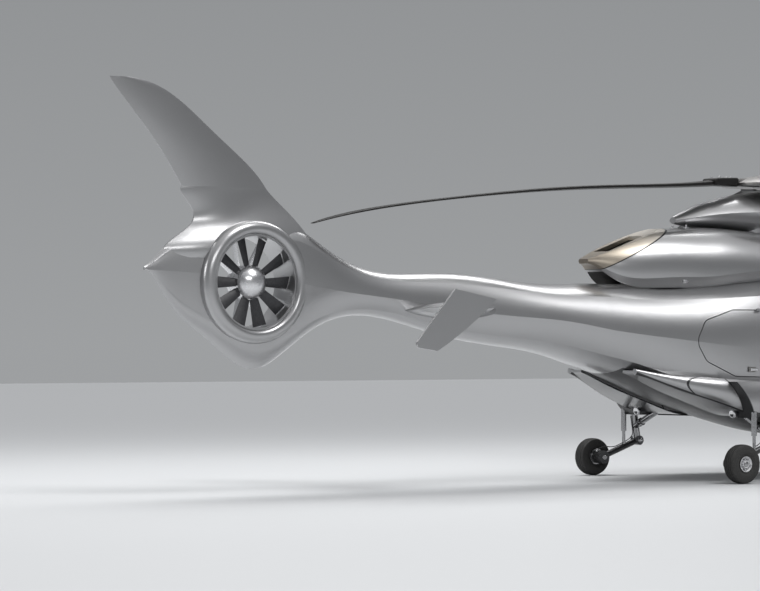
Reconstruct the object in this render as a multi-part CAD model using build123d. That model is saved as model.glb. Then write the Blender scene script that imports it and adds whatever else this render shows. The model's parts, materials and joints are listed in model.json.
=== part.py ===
from build123d import *
import os

os.makedirs("parts", exist_ok=True)

# A light helicopter with a three-blade rotor, a fan in the fin and wheels.
# It is drawn with its mast at X zero, its nose to +X, its port side to +Y
# and the ground at Z zero, and is moved to its own middle when it is saved.

# Scales that the body's shares follow. A station is a share of body_length
# ahead of the mast, a side is a share of half_width, and a height is a share
# of body_height above the ground.
body_length = 10000
body_width = 2000
body_height = 2000
half_width = body_width / 2
sky_height = body_height * 2
mast_x = 2110

# Walls, gaps and cuts
wall = 45
seam = 8
fit_gap = 0.3
turn_gap = 6
cut_over = 60
glass_wall = 6
glass_depth = 18

# Body joints, as stations
boom_joint_share = -0.510
tail_joint_share = -0.215
cabin_joint_share = -0.050
floor_share = 0.300
bulkhead_share = -0.056
bay_end_share = -0.165
bay_floor_share = 0.472
bay_wall = 20

# Fan in the fin. The turns are shares of a full turn, one for each blade.
duct_station_share = -0.603
duct_height_share = 0.900
duct_radius = 390
duct_liner = 14
duct_half = 162
duct_lip = 45
ring_width = 118
ring_edge_half = 142
fan_hub_radius = 146
fan_hub_edge = 25
fan_hub_rise = 88
fan_tip_gap = 9
fan_root_chord = 76
fan_tip_chord = 118
fan_blade_half = 7
fan_blade_pitch = 24
fan_plane = -60
fan_turn_shares = [0.000, 0.092, 0.198, 0.290, 0.396, 0.500, 0.592, 0.698, 0.790, 0.896]
full_turn = 360
stator_plane = 95
stator_hub_radius = 110
stator_hub_depth = 110
stator_count = 9
stator_turn = 20
stator_chord = 70
stator_half = 6
drive_radius = 26
collar_radius = 43
collar_length = 78

# Rotor
rotor_radius = 5350
rotor_height = 2830
mast_radius = 55
mast_foot = 2262
hub_radius = 170
hub_depth = 74
hub_arm_radius = 42
blade_root = 620
cap_radius = 465
cap_bottom = 2802
cap_top = 2912
cap_edge = 22
swash_radius = 138
swash_height = 2650
swash_depth = 28
link_radius = 9
link_place = 118
mast_bore = 165
blade_count = 3
rotor_turn = 180.9164

# Main wheels and legs
tyre_radius = 180.5
tyre_width = 132
rim_radius = 72
rim_width = 118
axle_radius = 20
bearing_gap = 0.05
wheel_station_share = -0.135
wheel_side = 1070
brake_radius = 62
arm_side = 930
elbow_station_share = -0.090
elbow_height = 335
elbow_radius = 46
arm_radius = 30
leg_radius = 38
leg_lean = 60
shock_station_share = -0.107
shock_radius = 16
shock_sleeve = 26
brace_radius = 31
brace_side = 400
brace_foot = 135
brace_rise = 130
collar_wall = 9
collar_run = 40

# Tyre and rim sections, as shares of the half width and of the rim's radius.
# A rim row is its radius and its side, from the back flange to the hub's face.
bead_share = 0.72
shoulder_drop_share = 0.30
shoulder_side_share = 0.78
rim_shares = [
    (1.00, -0.72),
    (0.86, -0.40),
    (0.86, 0.40),
    (1.00, 0.72),
    (1.00, 1.00),
    (0.90, 1.00),
    (0.62, 0.55),
    (0.50, 1.00),
]

# Nose wheel
nose_station_share = 0.190
nose_tyre_radius = 152
nose_tyre_width = 96
nose_rim_radius = 58
nose_rim_width = 84
nose_trail = 42
nose_leg_radius = 34
fork_gap = 16
fork_wall = 16
fork_arm = 46
crown_depth = 40
steer_gap = 0.3
fork_clear = 12
tow_radius = 10

# Hull rows: station, half width, keel, side crease, top,
# shoulder side and rise, bilge side and drop
hull_shares = [
    (-0.7035, 0.010, 0.9450, 0.9525, 0.9600, 0.72, 0.68, 0.72, 0.68),
    (-0.6810, 0.048, 0.8225, 0.9425, 1.0575, 0.72, 0.68, 0.72, 0.68),
    (-0.6550, 0.105, 0.7025, 0.9340, 1.1250, 0.74, 0.70, 0.74, 0.70),
    (-0.6250, 0.165, 0.5925, 0.9240, 1.1600, 0.76, 0.70, 0.76, 0.70),
    (-0.5980, 0.195, 0.5325, 0.9140, 1.1725, 0.78, 0.70, 0.78, 0.70),
    (-0.5720, 0.205, 0.5800, 0.9015, 1.1650, 0.78, 0.70, 0.78, 0.70),
    (-0.5450, 0.205, 0.6750, 0.8850, 1.1225, 0.76, 0.70, 0.76, 0.70),
    (-0.5150, 0.197, 0.7450, 0.8635, 1.0325, 0.74, 0.70, 0.74, 0.70),
    (-0.4850, 0.192, 0.7625, 0.8475, 0.9725, 0.73, 0.70, 0.73, 0.70),
    (-0.4360, 0.203, 0.7225, 0.8200, 0.9500, 0.72, 0.70, 0.74, 0.70),
    (-0.3300, 0.325, 0.6250, 0.7600, 0.9310, 0.72, 0.70, 0.76, 0.70),
    (-0.2450, 0.500, 0.5425, 0.7060, 0.9175, 0.73, 0.70, 0.80, 0.70),
    (-0.1950, 0.610, 0.4700, 0.6725, 0.9175, 0.75, 0.70, 0.84, 0.72),
    (-0.1420, 0.722, 0.3790, 0.6425, 0.9325, 0.78, 0.70, 0.88, 0.78),
    (-0.1000, 0.795, 0.3175, 0.6200, 0.9625, 0.81, 0.69, 0.91, 0.80),
    (-0.0400, 0.862, 0.2375, 0.5900, 1.0050, 0.84, 0.68, 0.92, 0.76),
    (0.0400, 0.885, 0.2125, 0.5550, 1.0250, 0.86, 0.67, 0.91, 0.72),
    (0.1100, 0.872, 0.2100, 0.5225, 0.9650, 0.86, 0.67, 0.90, 0.72),
    (0.1800, 0.780, 0.2225, 0.4875, 0.8275, 0.82, 0.68, 0.88, 0.71),
    (0.2400, 0.620, 0.2550, 0.4525, 0.6725, 0.78, 0.69, 0.84, 0.70),
    (0.2800, 0.420, 0.3050, 0.4250, 0.5525, 0.75, 0.70, 0.80, 0.70),
    (0.3030, 0.230, 0.3550, 0.4075, 0.4750, 0.74, 0.70, 0.76, 0.70),
    (0.3140, 0.060, 0.3875, 0.4000, 0.4200, 0.72, 0.70, 0.72, 0.70),
]
inner_rows = slice(8, -1)
crown_side_share = 0.53
crown_drop_share = 0.30
flank_side_share = 0.045
flank_rise_share = 0.54
bilge_side_share = 0.02
keel_rise_share = 0.27

# Engine cowl and deck rows: station, half width, bottom, lip, top
deck_shares = [
    (-0.2340, 0.070, 1.0100, 1.0200, 1.0420),
    (-0.2200, 0.155, 0.9725, 0.9850, 1.0840),
    (-0.2050, 0.235, 0.9250, 0.9520, 1.1200),
    (-0.1800, 0.330, 0.9000, 0.9425, 1.1580),
    (-0.1450, 0.430, 0.9000, 0.9500, 1.1800),
    (-0.1000, 0.530, 0.9100, 0.9650, 1.1850),
    (-0.0500, 0.600, 0.9300, 0.9850, 1.1650),
    (0.0000, 0.620, 0.9500, 1.0000, 1.1500),
    (0.0500, 0.580, 0.9500, 1.0000, 1.1300),
    (0.1000, 0.450, 0.9100, 0.9700, 1.0600),
    (0.1250, 0.300, 0.8800, 0.9350, 0.9900),
]
deck_foot_share = 0.80
deck_side_share = 0.80
deck_rise_share = 0.68
cowl_wall = 36
cowl_seam_shares = [(-0.082, 1.140), (-0.060, 0.985)]
exhaust_panel_shares = [(-0.222, 0.982), (-0.145, 1.172)]
exhaust_slope_shares = [(-0.2360, 1.0270), (-0.1480, 1.1830)]
exhaust_mouth_shares = (-0.2130, -0.1700)
exhaust_half = 108
engine_shares = (-0.172, -0.092)
engine_half = 215
engine_top = 2130
engine_foot = 1800
gearbox_foot = 1800
gearbox_shares = (-0.030, 0.036)
gearbox_half = 255

# Mast fairing rows: station, half width, bottom, top
fairing_shares = [
    (-0.1250, 0.050, 1.2060, 1.2390),
    (-0.1010, 0.190, 1.1920, 1.2900),
    (-0.0600, 0.290, 1.1750, 1.3450),
    (-0.0130, 0.340, 1.1560, 1.3740),
    (0.0350, 0.335, 1.1500, 1.3700),
    (0.0800, 0.275, 1.1400, 1.3200),
    (0.1080, 0.180, 1.1250, 1.2500),
]
fairing_side_share = 0.94
fairing_rise_share = 0.52
neck_length = 900
neck_width = 390
neck_station_share = 0.004
neck_rise = 140
neck_depth = 420
scoop_station_share = 0.0700
scoop_side = 135
scoop_radius = 62
scoop_height_share = 1.2150

# Fin rows: height, leading station, trailing station, half thickness
fin_shares = [
    (1.000, -0.5250, -0.6820, 0.185),
    (1.110, -0.5440, -0.6660, 0.160),
    (1.160, -0.5530, -0.6560, 0.124),
    (1.215, -0.5650, -0.6580, 0.090),
    (1.300, -0.5840, -0.6670, 0.066),
    (1.500, -0.6280, -0.6950, 0.042),
    (1.640, -0.6640, -0.7195, 0.026),
    (1.700, -0.6840, -0.7300, 0.018),
    (1.742, -0.7150, -0.7359, 0.010),
]
fin_root_rows = slice(0, 5)
fin_blade_rows = slice(4, 9)

# Stabilizer rows: side, leading station, trailing station, height, half thickness
stabilizer_shares = [
    (0.100, -0.3460, -0.4480, 0.786, 0.080),
    (0.250, -0.3530, -0.4490, 0.787, 0.070),
    (0.320, -0.3650, -0.4500, 0.789, 0.044),
    (0.420, -0.3750, -0.4540, 0.790, 0.037),
    (1.190, -0.4280, -0.4850, 0.797, 0.020),
]
stabilizer_root_rows = slice(0, 4)
stabilizer_wing_rows = slice(3, 5)
# Endplate outline: station, height
endplate_shares = [
    (-0.4280, 0.8300),
    (-0.4715, 0.8700),
    (-0.5150, 0.6264),
    (-0.4905, 0.6095),
]
endplate_front_share = (-0.4557, 0.7190)
endplate_corner = 35
endplate_side = 1200
endplate_wall = 24

# Sections of a wing, fin or blade
foil_nose_share = 0.55
foil_nose_length_share = 0.45
foil_thick_share = 0.35
foil_tail_share = 0.06

# Rotor blade rows, as shares of the radius: reach, droop, chord, sweep, half thickness
blade_shares = [
    (0.1160, 0.0000, 0.0260, 0.0000, 0.0066),
    (0.1700, 0.0055, 0.0480, 0.0000, 0.0050),
    (0.3360, 0.0150, 0.0500, 0.0000, 0.0036),
    (0.6190, 0.0355, 0.0440, 0.0000, 0.0026),
    (0.8260, 0.0600, 0.0400, 0.0004, 0.0022),
    (0.9610, 0.0840, 0.0320, 0.0050, 0.0017),
    (1.0000, 0.0950, 0.0140, 0.0130, 0.0009),
]
blade_axis_share = 0.30

# Sponson rows: station, outer side, bottom, top. A long strake leads into
# the pod, and the pod ends aft in a leaning face.
strake_shares = [
    (-0.2120, 0.500, 0.5060, 0.5170),
    (-0.1850, 0.620, 0.4520, 0.5020),
    (-0.1560, 0.750, 0.3990, 0.4880),
    (-0.1320, 0.830, 0.3600, 0.4790),
    (-0.1060, 0.870, 0.3180, 0.4700),
    (-0.0800, 0.880, 0.3000, 0.4650),
]
strake_inner_share = 0.30
pod_shares = [
    (-0.1450, 0.990, 0.2900, 0.4720),
    (-0.0700, 0.985, 0.2900, 0.4650),
    (-0.0200, 0.955, 0.2860, 0.4560),
    (0.0150, 0.840, 0.3000, 0.4200),
]
pod_inner_share = 0.70
pod_aft_shares = [(-0.1440, 0.5900), (-0.0960, 0.2200)]
sponson_round = 55

# Side outlines: station, height
front_door_shares = [
    (0.0250, 0.330),
    (0.1330, 0.330),
    (0.1440, 0.400),
    (0.1440, 0.590),
    (0.1000, 0.880),
    (0.0250, 0.900),
]
rear_door_shares = [(-0.0450, 0.510), (0.0170, 0.510), (0.0170, 0.900), (-0.0450, 0.885)]
front_window_shares = [(0.0330, 0.580), (0.1330, 0.545), (0.1300, 0.600), (0.0930, 0.845), (0.0330, 0.860)]
rear_window_shares = [(-0.0370, 0.600), (0.0090, 0.590), (0.0090, 0.860), (-0.0370, 0.845)]
bay_door_shares = [
    (-0.0640, 0.484),
    (-0.1130, 0.490),
    (-0.1440, 0.560),
    (-0.1560, 0.650),
    (-0.1440, 0.745),
    (-0.1120, 0.795),
    (-0.0640, 0.795),
]
screen_shares = [(0.2840, 0.492), (0.1570, 0.580), (0.0870, 0.975), (0.0870, 1.080), (0.3000, 1.080)]
door_corner = 60
window_corner = 40
bay_corner = 110
screen_corner = 30
post_half = 22

# Belly pan, as deep as this above the keel of these hull rows
belly_rows = slice(11, 20)
belly_depth = 62

# Hinges: a door's turning line, and the places of its knuckles along it
hinge_radius = 9
hinge_half = 28
hinge_leaf = 46
hinge_wall = 12
hinge_clear = 5
front_hinge_share = (0.1448, 0.850)
front_knuckle_shares = (0.460, 0.560)
rear_hinge_share = (-0.0454, 0.872)
rear_knuckle_shares = (0.550, 0.675)
bay_hinge_share = (0.765, 0.798)
bay_knuckle_shares = (-0.0780, -0.0860)

# Cabin fittings
seat_station_share = 0.0800
seat_side = 330
seat_half = 245
cushion_length = 500
cushion_depth = 120
cushion_foot = 760
seat_base_half = 190
seat_base_length = 380
back_height = 640
back_depth = 110
back_lean = 14
back_tuck = 37
cushion_round_share = 0.3
bench_station_share = -0.0130
bench_half = 640
bench_base_share = 0.84
bench_length = 420
bench_back_height = 560
panel_station_share = 0.1700
panel_half = 430
panel_depth = 190
panel_height = 300
panel_foot = 830
console_half = 95
stem_depth = 127
console_length = 560
console_height = 210
stick_radius = 13
stick_height = 430
stick_lean = 20
stick_station_share = 0.1290
grip_radius = 19
grip_length = 110
lever_radius = 12
lever_length = 380
lever_lean = 62
lever_station_share = 0.0680
lever_side = 60
pedal_station_share = 0.2080
pedal_side = 90
pedal_width = 85
pedal_height = 130
pedal_wall = 12
pedal_rod = 11

# Bay doors of the gear, left open below the body
well_door_wall = 8
well_door_length = 360
well_door_clear = 16
well_door_side = 105
jack_radius = 45
jack_drop = 14
jack_station_share = -0.0300
jack_side = 760


def save(name, shape):
    export_step(Pos(mast_x, 0, 0) * shape, f"parts/{name}.step")


def rod(start, end, radius):
    path = Vector(*end) - Vector(*start)
    bar = Cylinder(radius, path.length, align=(Align.CENTER, Align.CENTER, Align.MIN))
    return Plane(origin=start, z_dir=path) * bar


def block(low, high):
    size = Vector(*high) - Vector(*low)
    return Pos(*low) * Box(size.X, size.Y, size.Z, align=(Align.MIN, Align.MIN, Align.MIN))


def slice_of(low_x, high_x):
    reach = body_width + cut_over
    return block((low_x, -reach, 0), (high_x, reach, sky_height))


def section_face(x, start, runs):
    plane = Plane(origin=(x, 0, 0), x_dir=(0, 1, 0), z_dir=(1, 0, 0))
    edges = []
    for side in (1, -1):
        here = start
        for run in runs:
            points = [plane.from_local_coords((side * y, z)) for y, z in [here, *run]]
            edges.append(Line(*points) if len(points) == 2 else ThreePointArc(*points))
            here = run[-1]
    return Face(Wire(edges))


def hull_face(row, inset):
    station, side, keel, crease, top, out, rise, bilge_out, drop = row
    half = side * half_width - inset
    low = keel * body_height + inset
    middle = crease * body_height
    high = top * body_height - inset
    up = high - middle
    down = middle - low
    shoulder = (half * out, middle + up * rise)
    bilge = (half * bilge_out, middle - down * drop)
    crown = (shoulder[0] * crown_side_share, high - up * (1 - rise) * crown_drop_share)
    flank = (half * ((1 + out) / 2 + flank_side_share), middle + up * rise * flank_rise_share)
    lower_flank = (half * ((1 + bilge_out) / 2 + bilge_side_share), middle - down * drop * flank_rise_share)
    keel_side = (bilge[0] * crown_side_share, low + down * (1 - drop) * keel_rise_share)
    runs = [
        [crown, shoulder],
        [flank, (half, middle)],
        [lower_flank, bilge],
        [keel_side, (0, low)],
    ]
    return section_face(station * body_length, (0, high), runs)


def hull_loft(rows, inset):
    return loft([hull_face(row, inset) for row in rows])


def deck_face(row, inset):
    station, side, bottom, lip, top = row
    half = side * half_width - inset
    foot = half * deck_foot_share
    low = bottom * body_height - inset
    edge = lip * body_height
    high = top * body_height - inset
    bulge = (half * deck_side_share, edge + (high - edge) * deck_rise_share)
    runs = [[bulge, (half, edge)], [(foot, low)], [(0, low)]]
    return section_face(station * body_length, (0, high), runs)


def fairing_face(row):
    station, side, bottom, top = row
    half = side * half_width
    low = bottom * body_height
    high = top * body_height
    middle = low + (high - low) * fairing_rise_share
    side_out = half * fairing_side_share
    runs = [
        [(half / 2, high - (high - middle) * crown_drop_share), (side_out, middle)],
        [(half / 2, low + (middle - low) * keel_rise_share), (0, low)],
    ]
    return section_face(station * body_length, (0, high), runs)


def foil_face(plane, chord, half):
    nose_half = half * foil_nose_share
    nose = nose_half * foil_nose_length_share
    tail = half * foil_tail_share
    thick = chord * foil_thick_share
    spots = [(nose, nose_half), (0, 0), (nose, -nose_half), (thick, -half), (chord, -tail)]
    spots += [(chord, tail), (thick, half), (nose, nose_half)]
    points = [plane.from_local_coords(spot) for spot in spots]
    edges = [
        ThreePointArc(*points[0:3]),
        ThreePointArc(*points[2:5]),
        Line(*points[4:6]),
        ThreePointArc(*points[5:8]),
    ]
    return Face(Wire(edges))


def side_face(outline, corner, grow=0):
    points = [(station * body_length, height * body_height) for station, height in outline]
    face = make_face(Polyline(*points, close=True))
    face = fillet(face.vertices(), corner)
    if grow:
        face = offset(face, amount=grow)
    return Plane.XZ * face


def side_prism(outline, corner, grow=0):
    return extrude(side_face(outline, corner, grow), amount=body_width, both=True)


def both_sides(shape):
    parts = shape.solids().sort_by(Axis.Y)
    return {"right": parts[0], "left": parts[-1]}


def knuckle(way, low, high):
    barrel = rod((0, 0, low), (0, 0, high), hinge_radius)
    reach = sorted((0, way * hinge_wall))
    return barrel + block((reach[0], -hinge_leaf, low), (reach[1], 0, high))


def hinge_pair(way):
    return knuckle(way, fit_gap / 2, hinge_half), knuckle(-way, -hinge_half, -fit_gap / 2)


def hinges_at(places, way):
    fixed, moving = hinge_pair(way)
    reach = hinge_half + hinge_clear
    pocket = rod((0, 0, -reach), (0, 0, reach), hinge_radius + hinge_clear)
    return [[place * piece for place in places] for piece in (fixed, moving, pocket)]


def upright_hinges(spot, heights, way):
    places = [Pos(spot[0] * body_length, spot[1] * half_width, height * body_height) for height in heights]
    return hinges_at(places, way)


def level_hinges(spot, stations):
    places = [
        Pos(station * body_length, spot[0] * half_width, spot[1] * body_height) * Rot(0, 90, 0)
        for station in stations
    ]
    return hinges_at(places, -1)


def on_side(pieces, side):
    return pieces if side > 0 else [mirror(piece, about=Plane.XZ) for piece in pieces]


def with_hinges(shape, hinges, pockets, hinge_sides):
    room = [piece for side in hinge_sides for piece in on_side(pockets, side)]
    metal = [piece for side in hinge_sides for piece in on_side(hinges, side)]
    return (shape - room) + metal


sides = {"left": 1, "right": -1}

# Outer form of the body, and the forms inside its wall
hull = hull_loft(hull_shares, 0)
hull_core = hull_loft(hull_shares[inner_rows], wall)
glass_form = hull_loft(hull_shares[inner_rows], glass_depth) - hull_loft(
    hull_shares[inner_rows], glass_depth + glass_wall
)
skin = hull - hull_core

tail_end = hull_shares[0][0] * body_length - cut_over
boom_joint = boom_joint_share * body_length
tail_joint = tail_joint_share * body_length
cabin_joint = cabin_joint_share * body_length
nose_end = hull_shares[-1][0] * body_length + cut_over
floor_top = floor_share * body_height

front_door_cut = side_prism(front_door_shares, door_corner, seam)
rear_door_cut = side_prism(rear_door_shares, door_corner, seam)
bay_cut = side_prism(bay_door_shares, bay_corner, seam)


def make_belly():
    edge = [(row[0] * body_length, row[2] * body_height + belly_depth) for row in hull_shares[belly_rows]]
    outline = Polyline(*edge, (edge[-1][0], 0), (edge[0][0], 0), close=True)
    return extrude(Plane.XZ * make_face(outline), amount=body_width, both=True)


belly_tool = make_belly()

# Body pieces, from the tail to the nose
duct_x = duct_station_share * body_length
duct_z = duct_height_share * body_height
duct_hole = rod(
    (duct_x, -body_width, duct_z),
    (duct_x, body_width, duct_z),
    duct_radius + duct_liner + fit_gap,
)
tail_part = (hull & slice_of(tail_end, boom_joint)) - duct_hole


def around_duct(shape):
    return Pos(duct_x, 0, duct_z) * Rot(90, 0, 0) * shape


def make_ring():
    inner = duct_radius + duct_liner + fit_gap
    crest = inner + duct_lip
    outer = inner + ring_width
    top = duct_half + duct_lip
    edges = [
        Line((inner, -duct_half), (inner, duct_half)),
        TangentArc((inner, duct_half), (crest, top), tangent=(0, 1)),
        TangentArc((crest, top), (outer, ring_edge_half), tangent=(1, 0)),
        Line((outer, ring_edge_half), (outer, -ring_edge_half)),
        TangentArc((crest, -top), (outer, -ring_edge_half), tangent=(1, 0)),
        TangentArc((inner, -duct_half), (crest, -top), tangent=(0, -1)),
    ]
    return revolve(Plane.XZ * make_face(edges), Axis.Z), crest


duct_ring, mouth_radius = make_ring()
for side in sides.values():
    mouth = Pos(0, 0, side * (duct_half + half_width / 2)) * Cylinder(mouth_radius, half_width)
    tail_part = tail_part - around_duct(mouth)
save("fan_shroud", tail_part + around_duct(duct_ring))
save("tail_boom", (hull & slice_of(boom_joint, tail_joint)) - hull_core)
bulkhead = bulkhead_share * body_length
bay_end = bay_end_share * body_length
bay_floor = bay_floor_share * body_height
aft_room = hull_core & slice_of(tail_end, bulkhead)
bay_box = block((bay_end, -body_width, bay_floor), (bulkhead + cut_over, body_width, sky_height))
bay_low = (bay_end - bay_wall, -body_width, bay_floor - bay_wall)
bay_shell = block(bay_low, (bulkhead, body_width, sky_height)) - bay_box
aft_room = aft_room - bay_shell
aft_fuselage = (hull & slice_of(tail_joint, cabin_joint)) - aft_room - belly_tool - bay_cut
bay_fixed, bay_moving, bay_pockets = level_hinges(bay_hinge_share, bay_knuckle_shares)
save("aft_fuselage", with_hinges(aft_fuselage, bay_fixed, bay_pockets, sides.values()))
save("belly_pan", (hull & belly_tool) & slice_of(tail_joint, nose_end))

cabin_part = hull & slice_of(cabin_joint, nose_end)
cabin_room = hull_core & block((cabin_joint, -body_width, floor_top), (nose_end, body_width, sky_height))
post = block((0, -post_half, 0), (nose_end, post_half, sky_height))
screen_cut = side_prism(screen_shares, screen_corner)
cabin_frame = cabin_part - [cabin_room, belly_tool, front_door_cut, rear_door_cut, screen_cut - post]
front_fixed, front_moving, front_pockets = upright_hinges(front_hinge_share, front_knuckle_shares, 1)
rear_fixed, rear_moving, rear_pockets = upright_hinges(rear_hinge_share, rear_knuckle_shares, -1)
cabin_hinges = front_fixed + rear_fixed
cabin_pockets = front_pockets + rear_pockets
save("cabin_frame", with_hinges(cabin_frame, cabin_hinges, cabin_pockets, sides.values()))
screens = glass_form & slice_of(0, nose_end) & side_prism(screen_shares, screen_corner, -fit_gap)
screen_gap = block((0, -post_half - fit_gap, 0), (nose_end, post_half + fit_gap, sky_height))
save("windscreens", screens - screen_gap)

# Doors with their windows
door_table = [
    ("front_door", front_door_shares, front_window_shares, front_moving, front_pockets),
    ("rear_door", rear_door_shares, rear_window_shares, rear_moving, rear_pockets),
]
for name, outline, window, hinges, pockets in door_table:
    doors = both_sides((skin & side_prism(outline, door_corner)) - side_prism(window, window_corner))
    panes = both_sides(glass_form & side_prism(window, window_corner, -fit_gap))
    for side in sides:
        save(f"{name}_{side}", with_hinges(doors[side], hinges, pockets, [sides[side]]))
        save(f"{name}_window_{side}", panes[side])
bay_doors = both_sides(skin & side_prism(bay_door_shares, bay_corner))
for side in sides:
    save(f"luggage_door_{side}", with_hinges(bay_doors[side], bay_moving, bay_pockets, [sides[side]]))

# Engine cowl, exhaust panel and deck fairing on top of the body
def above_slope(drop):
    slope = []
    for station, height in exhaust_slope_shares:
        slope.append((station * body_length, height * body_height - drop))
    outline = [*slope, (slope[1][0], sky_height), (slope[0][0], sky_height)]
    return extrude(Plane.XZ * make_face(Polyline(*outline, close=True)), amount=body_width, both=True)


full_deck = loft([deck_face(row, 0) for row in deck_shares]) - above_slope(0)
deck = full_deck - hull
deck_core = loft([deck_face(row, cowl_wall) for row in deck_shares[1:-1]]) - above_slope(cowl_wall)
seam_top, seam_low = [(station * body_length, height * body_height) for station, height in cowl_seam_shares]


def ahead_of_seam():
    lean = (seam_low[0] - seam_top[0]) / (seam_top[1] - seam_low[1])
    above = sky_height
    below = half_width
    outline = [
        (seam_top[0] - lean * (above - seam_top[1]), above),
        (seam_low[0] + lean * (seam_low[1] - below), below),
        (nose_end, below),
        (nose_end, above),
    ]
    return extrude(Plane.XZ * make_face(Polyline(*outline, close=True)), amount=body_width, both=True)


def above_panel_edge():
    low, high = [(station * body_length, height * body_height) for station, height in exhaust_panel_shares]
    outline = [(tail_end, low[1]), low, high, (high[0], sky_height), (tail_end, sky_height)]
    return extrude(Plane.XZ * make_face(Polyline(*outline, close=True)), amount=body_width, both=True)


ahead = ahead_of_seam()
panel_zone = above_panel_edge()
gearbox_low, gearbox_high = [share * body_length for share in gearbox_shares]
gearbox = block(
    (gearbox_low, -gearbox_half, gearbox_foot),
    (gearbox_high, gearbox_half, mast_foot - fit_gap),
) - hull
gearbox_room = block(
    (gearbox_low - turn_gap, -gearbox_half - turn_gap, 0),
    (gearbox_high + turn_gap, gearbox_half + turn_gap, mast_foot),
)
cowl_room = deck_core & slice_of(deck_shares[1][0] * body_length, seam_top[0])
cowl_shell = deck - cowl_room - ahead
exhaust_mouth = block(
    (exhaust_mouth_shares[0] * body_length, -exhaust_half, body_height),
    (exhaust_mouth_shares[1] * body_length, exhaust_half, sky_height),
)
mast_hole = Pos(0, 0, body_height) * Cylinder(mast_bore, sky_height)
save("engine_cowl", cowl_shell - panel_zone)
save("exhaust_panel", (cowl_shell & panel_zone) - exhaust_mouth)
save("deck_fairing", (deck & ahead) - gearbox_room - mast_hole)
save("gearbox", gearbox)
engine = block(
    (engine_shares[0] * body_length, -engine_half, engine_foot),
    (engine_shares[1] * body_length, engine_half, engine_top),
)
save("engine_block", engine - hull)

# Mast fairing on its neck, with two intakes
fairing = loft([fairing_face(row) for row in fairing_shares])
neck_x = neck_station_share * body_length
neck = Pos(neck_x, 0, rotor_height - neck_rise * 2) * extrude(
    SlotOverall(neck_length, neck_width), amount=-neck_depth
)
neck_top = fairing_shares[3][3] * body_height - cut_over
neck_low = block((-body_width, -body_width, 0), (body_width, body_width, neck_top))
scoops = [
    Pos(scoop_station_share * body_length, side * scoop_side, scoop_height_share * body_height)
    * Rot(0, 90, 0)
    * Cylinder(scoop_radius, body_width, align=(Align.CENTER, Align.CENTER, Align.MIN))
    for side in sides.values()
]
mast_fairing = (fairing + (neck & neck_low)) - full_deck - hull - mast_hole - scoops[0] - scoops[1]
save("mast_fairing", mast_fairing)


# Fin, stabilizer and endplates
def make_fin():
    faces = []
    for height, lead, trail, half in fin_shares:
        lead_x = lead * body_length
        plane = Plane(origin=(lead_x, 0, height * body_height), x_dir=(-1, 0, 0), z_dir=(0, 0, 1))
        faces.append(foil_face(plane, lead_x - trail * body_length, half * half_width))
    return loft(faces[fin_root_rows]) + loft(faces[fin_blade_rows])


def make_stabilizer(side):
    faces = []
    for out, lead, trail, height, half in stabilizer_shares:
        lead_x = lead * body_length
        origin = (lead_x, side * out * half_width, height * body_height)
        plane = Plane(origin=origin, x_dir=(-1, 0, 0), z_dir=(0, 1, 0))
        faces.append(foil_face(plane, lead_x - trail * body_length, half * half_width))
    return loft(faces[stabilizer_root_rows]) + loft(faces[stabilizer_wing_rows])


def make_endplate(side):
    spots = [(station * body_length, height * body_height) for station, height in endplate_shares]
    front = (endplate_front_share[0] * body_length, endplate_front_share[1] * body_height)
    edges = [
        Line(spots[0], spots[1]),
        Line(spots[1], spots[2]),
        Line(spots[2], spots[3]),
        ThreePointArc(spots[3], front, spots[0]),
    ]
    face = make_face(edges)
    corners = face.vertices().sort_by(Axis.X)[0:2]
    face = fillet(corners, endplate_corner)
    plate = extrude(Plane.XZ * face, amount=endplate_wall / 2, both=True)
    return Pos(0, side * endplate_side, 0) * plate


duct_room = around_duct(Cylinder(mouth_radius, body_width))
save("tail_fin", make_fin() - [hull, duct_room, around_duct(duct_ring)])
for name, side in sides.items():
    save(f"stabilizer_{name}", (make_stabilizer(side) - hull) + make_endplate(side))


# A turned piece with a flat foot, a straight edge and a rounded top
def make_dome(radius, low, edge, high):
    rise = high - edge
    ball_radius = (radius**2 + rise**2) / (rise * 2)
    middle = (radius / 2, high - ball_radius + (ball_radius**2 - (radius / 2) ** 2) ** 0.5)
    edges = [
        Line((0, low), (radius, low)),
        Line((radius, low), (radius, edge)),
        ThreePointArc((radius, edge), middle, (0, high)),
        Line((0, high), (0, low)),
    ]
    return revolve(Plane.XZ * make_face(edges), Axis.Z)


# Fan: straight liner, turning fan, fixed vanes and the drive's cover
liner = Cylinder(duct_radius + duct_liner, duct_half * 2) - Cylinder(duct_radius, duct_half * 2 + cut_over)
save("duct_liner", around_duct(liner))


def make_vane(root, tip, half):
    faces = []
    for reach, chord in (root, tip):
        plane = Plane(origin=(reach, -chord / 2, 0), x_dir=(0, 1, 0), z_dir=(1, 0, 0))
        faces.append(foil_face(plane, chord, half))
    return loft(faces)


def ring_of(shape, count, turn=0):
    step = full_turn / count
    return [Rot(0, 0, turn + index * step) * shape for index in range(count)]


fan_root = (fan_hub_radius + fit_gap, fan_root_chord)
fan_tip = (duct_radius - fan_tip_gap, fan_tip_chord)
fan_blade = Rot(fan_blade_pitch, 0, 0) * make_vane(fan_root, fan_tip, fan_blade_half)
fan_foot = fan_plane - stator_plane + stator_hub_depth / 2 + fit_gap
fan_hub = make_dome(fan_hub_radius, fan_foot, fan_hub_edge, fan_hub_edge + fan_hub_rise)
save("fan_hub", around_duct(Pos(0, 0, -fan_plane) * fan_hub))
fan_blades = []
for turn in fan_turn_shares:
    fan_blades.append(around_duct(Pos(0, 0, -fan_plane) * Rot(0, 0, turn * full_turn) * fan_blade))
save("fan_blades", Compound(children=fan_blades))
stator_reach = (duct_radius**2 - (stator_chord / 2 + stator_half) ** 2) ** 0.5 - fit_gap
stator_vane = make_vane((stator_hub_radius / 2, stator_chord), (stator_reach, stator_chord), stator_half)
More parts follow.
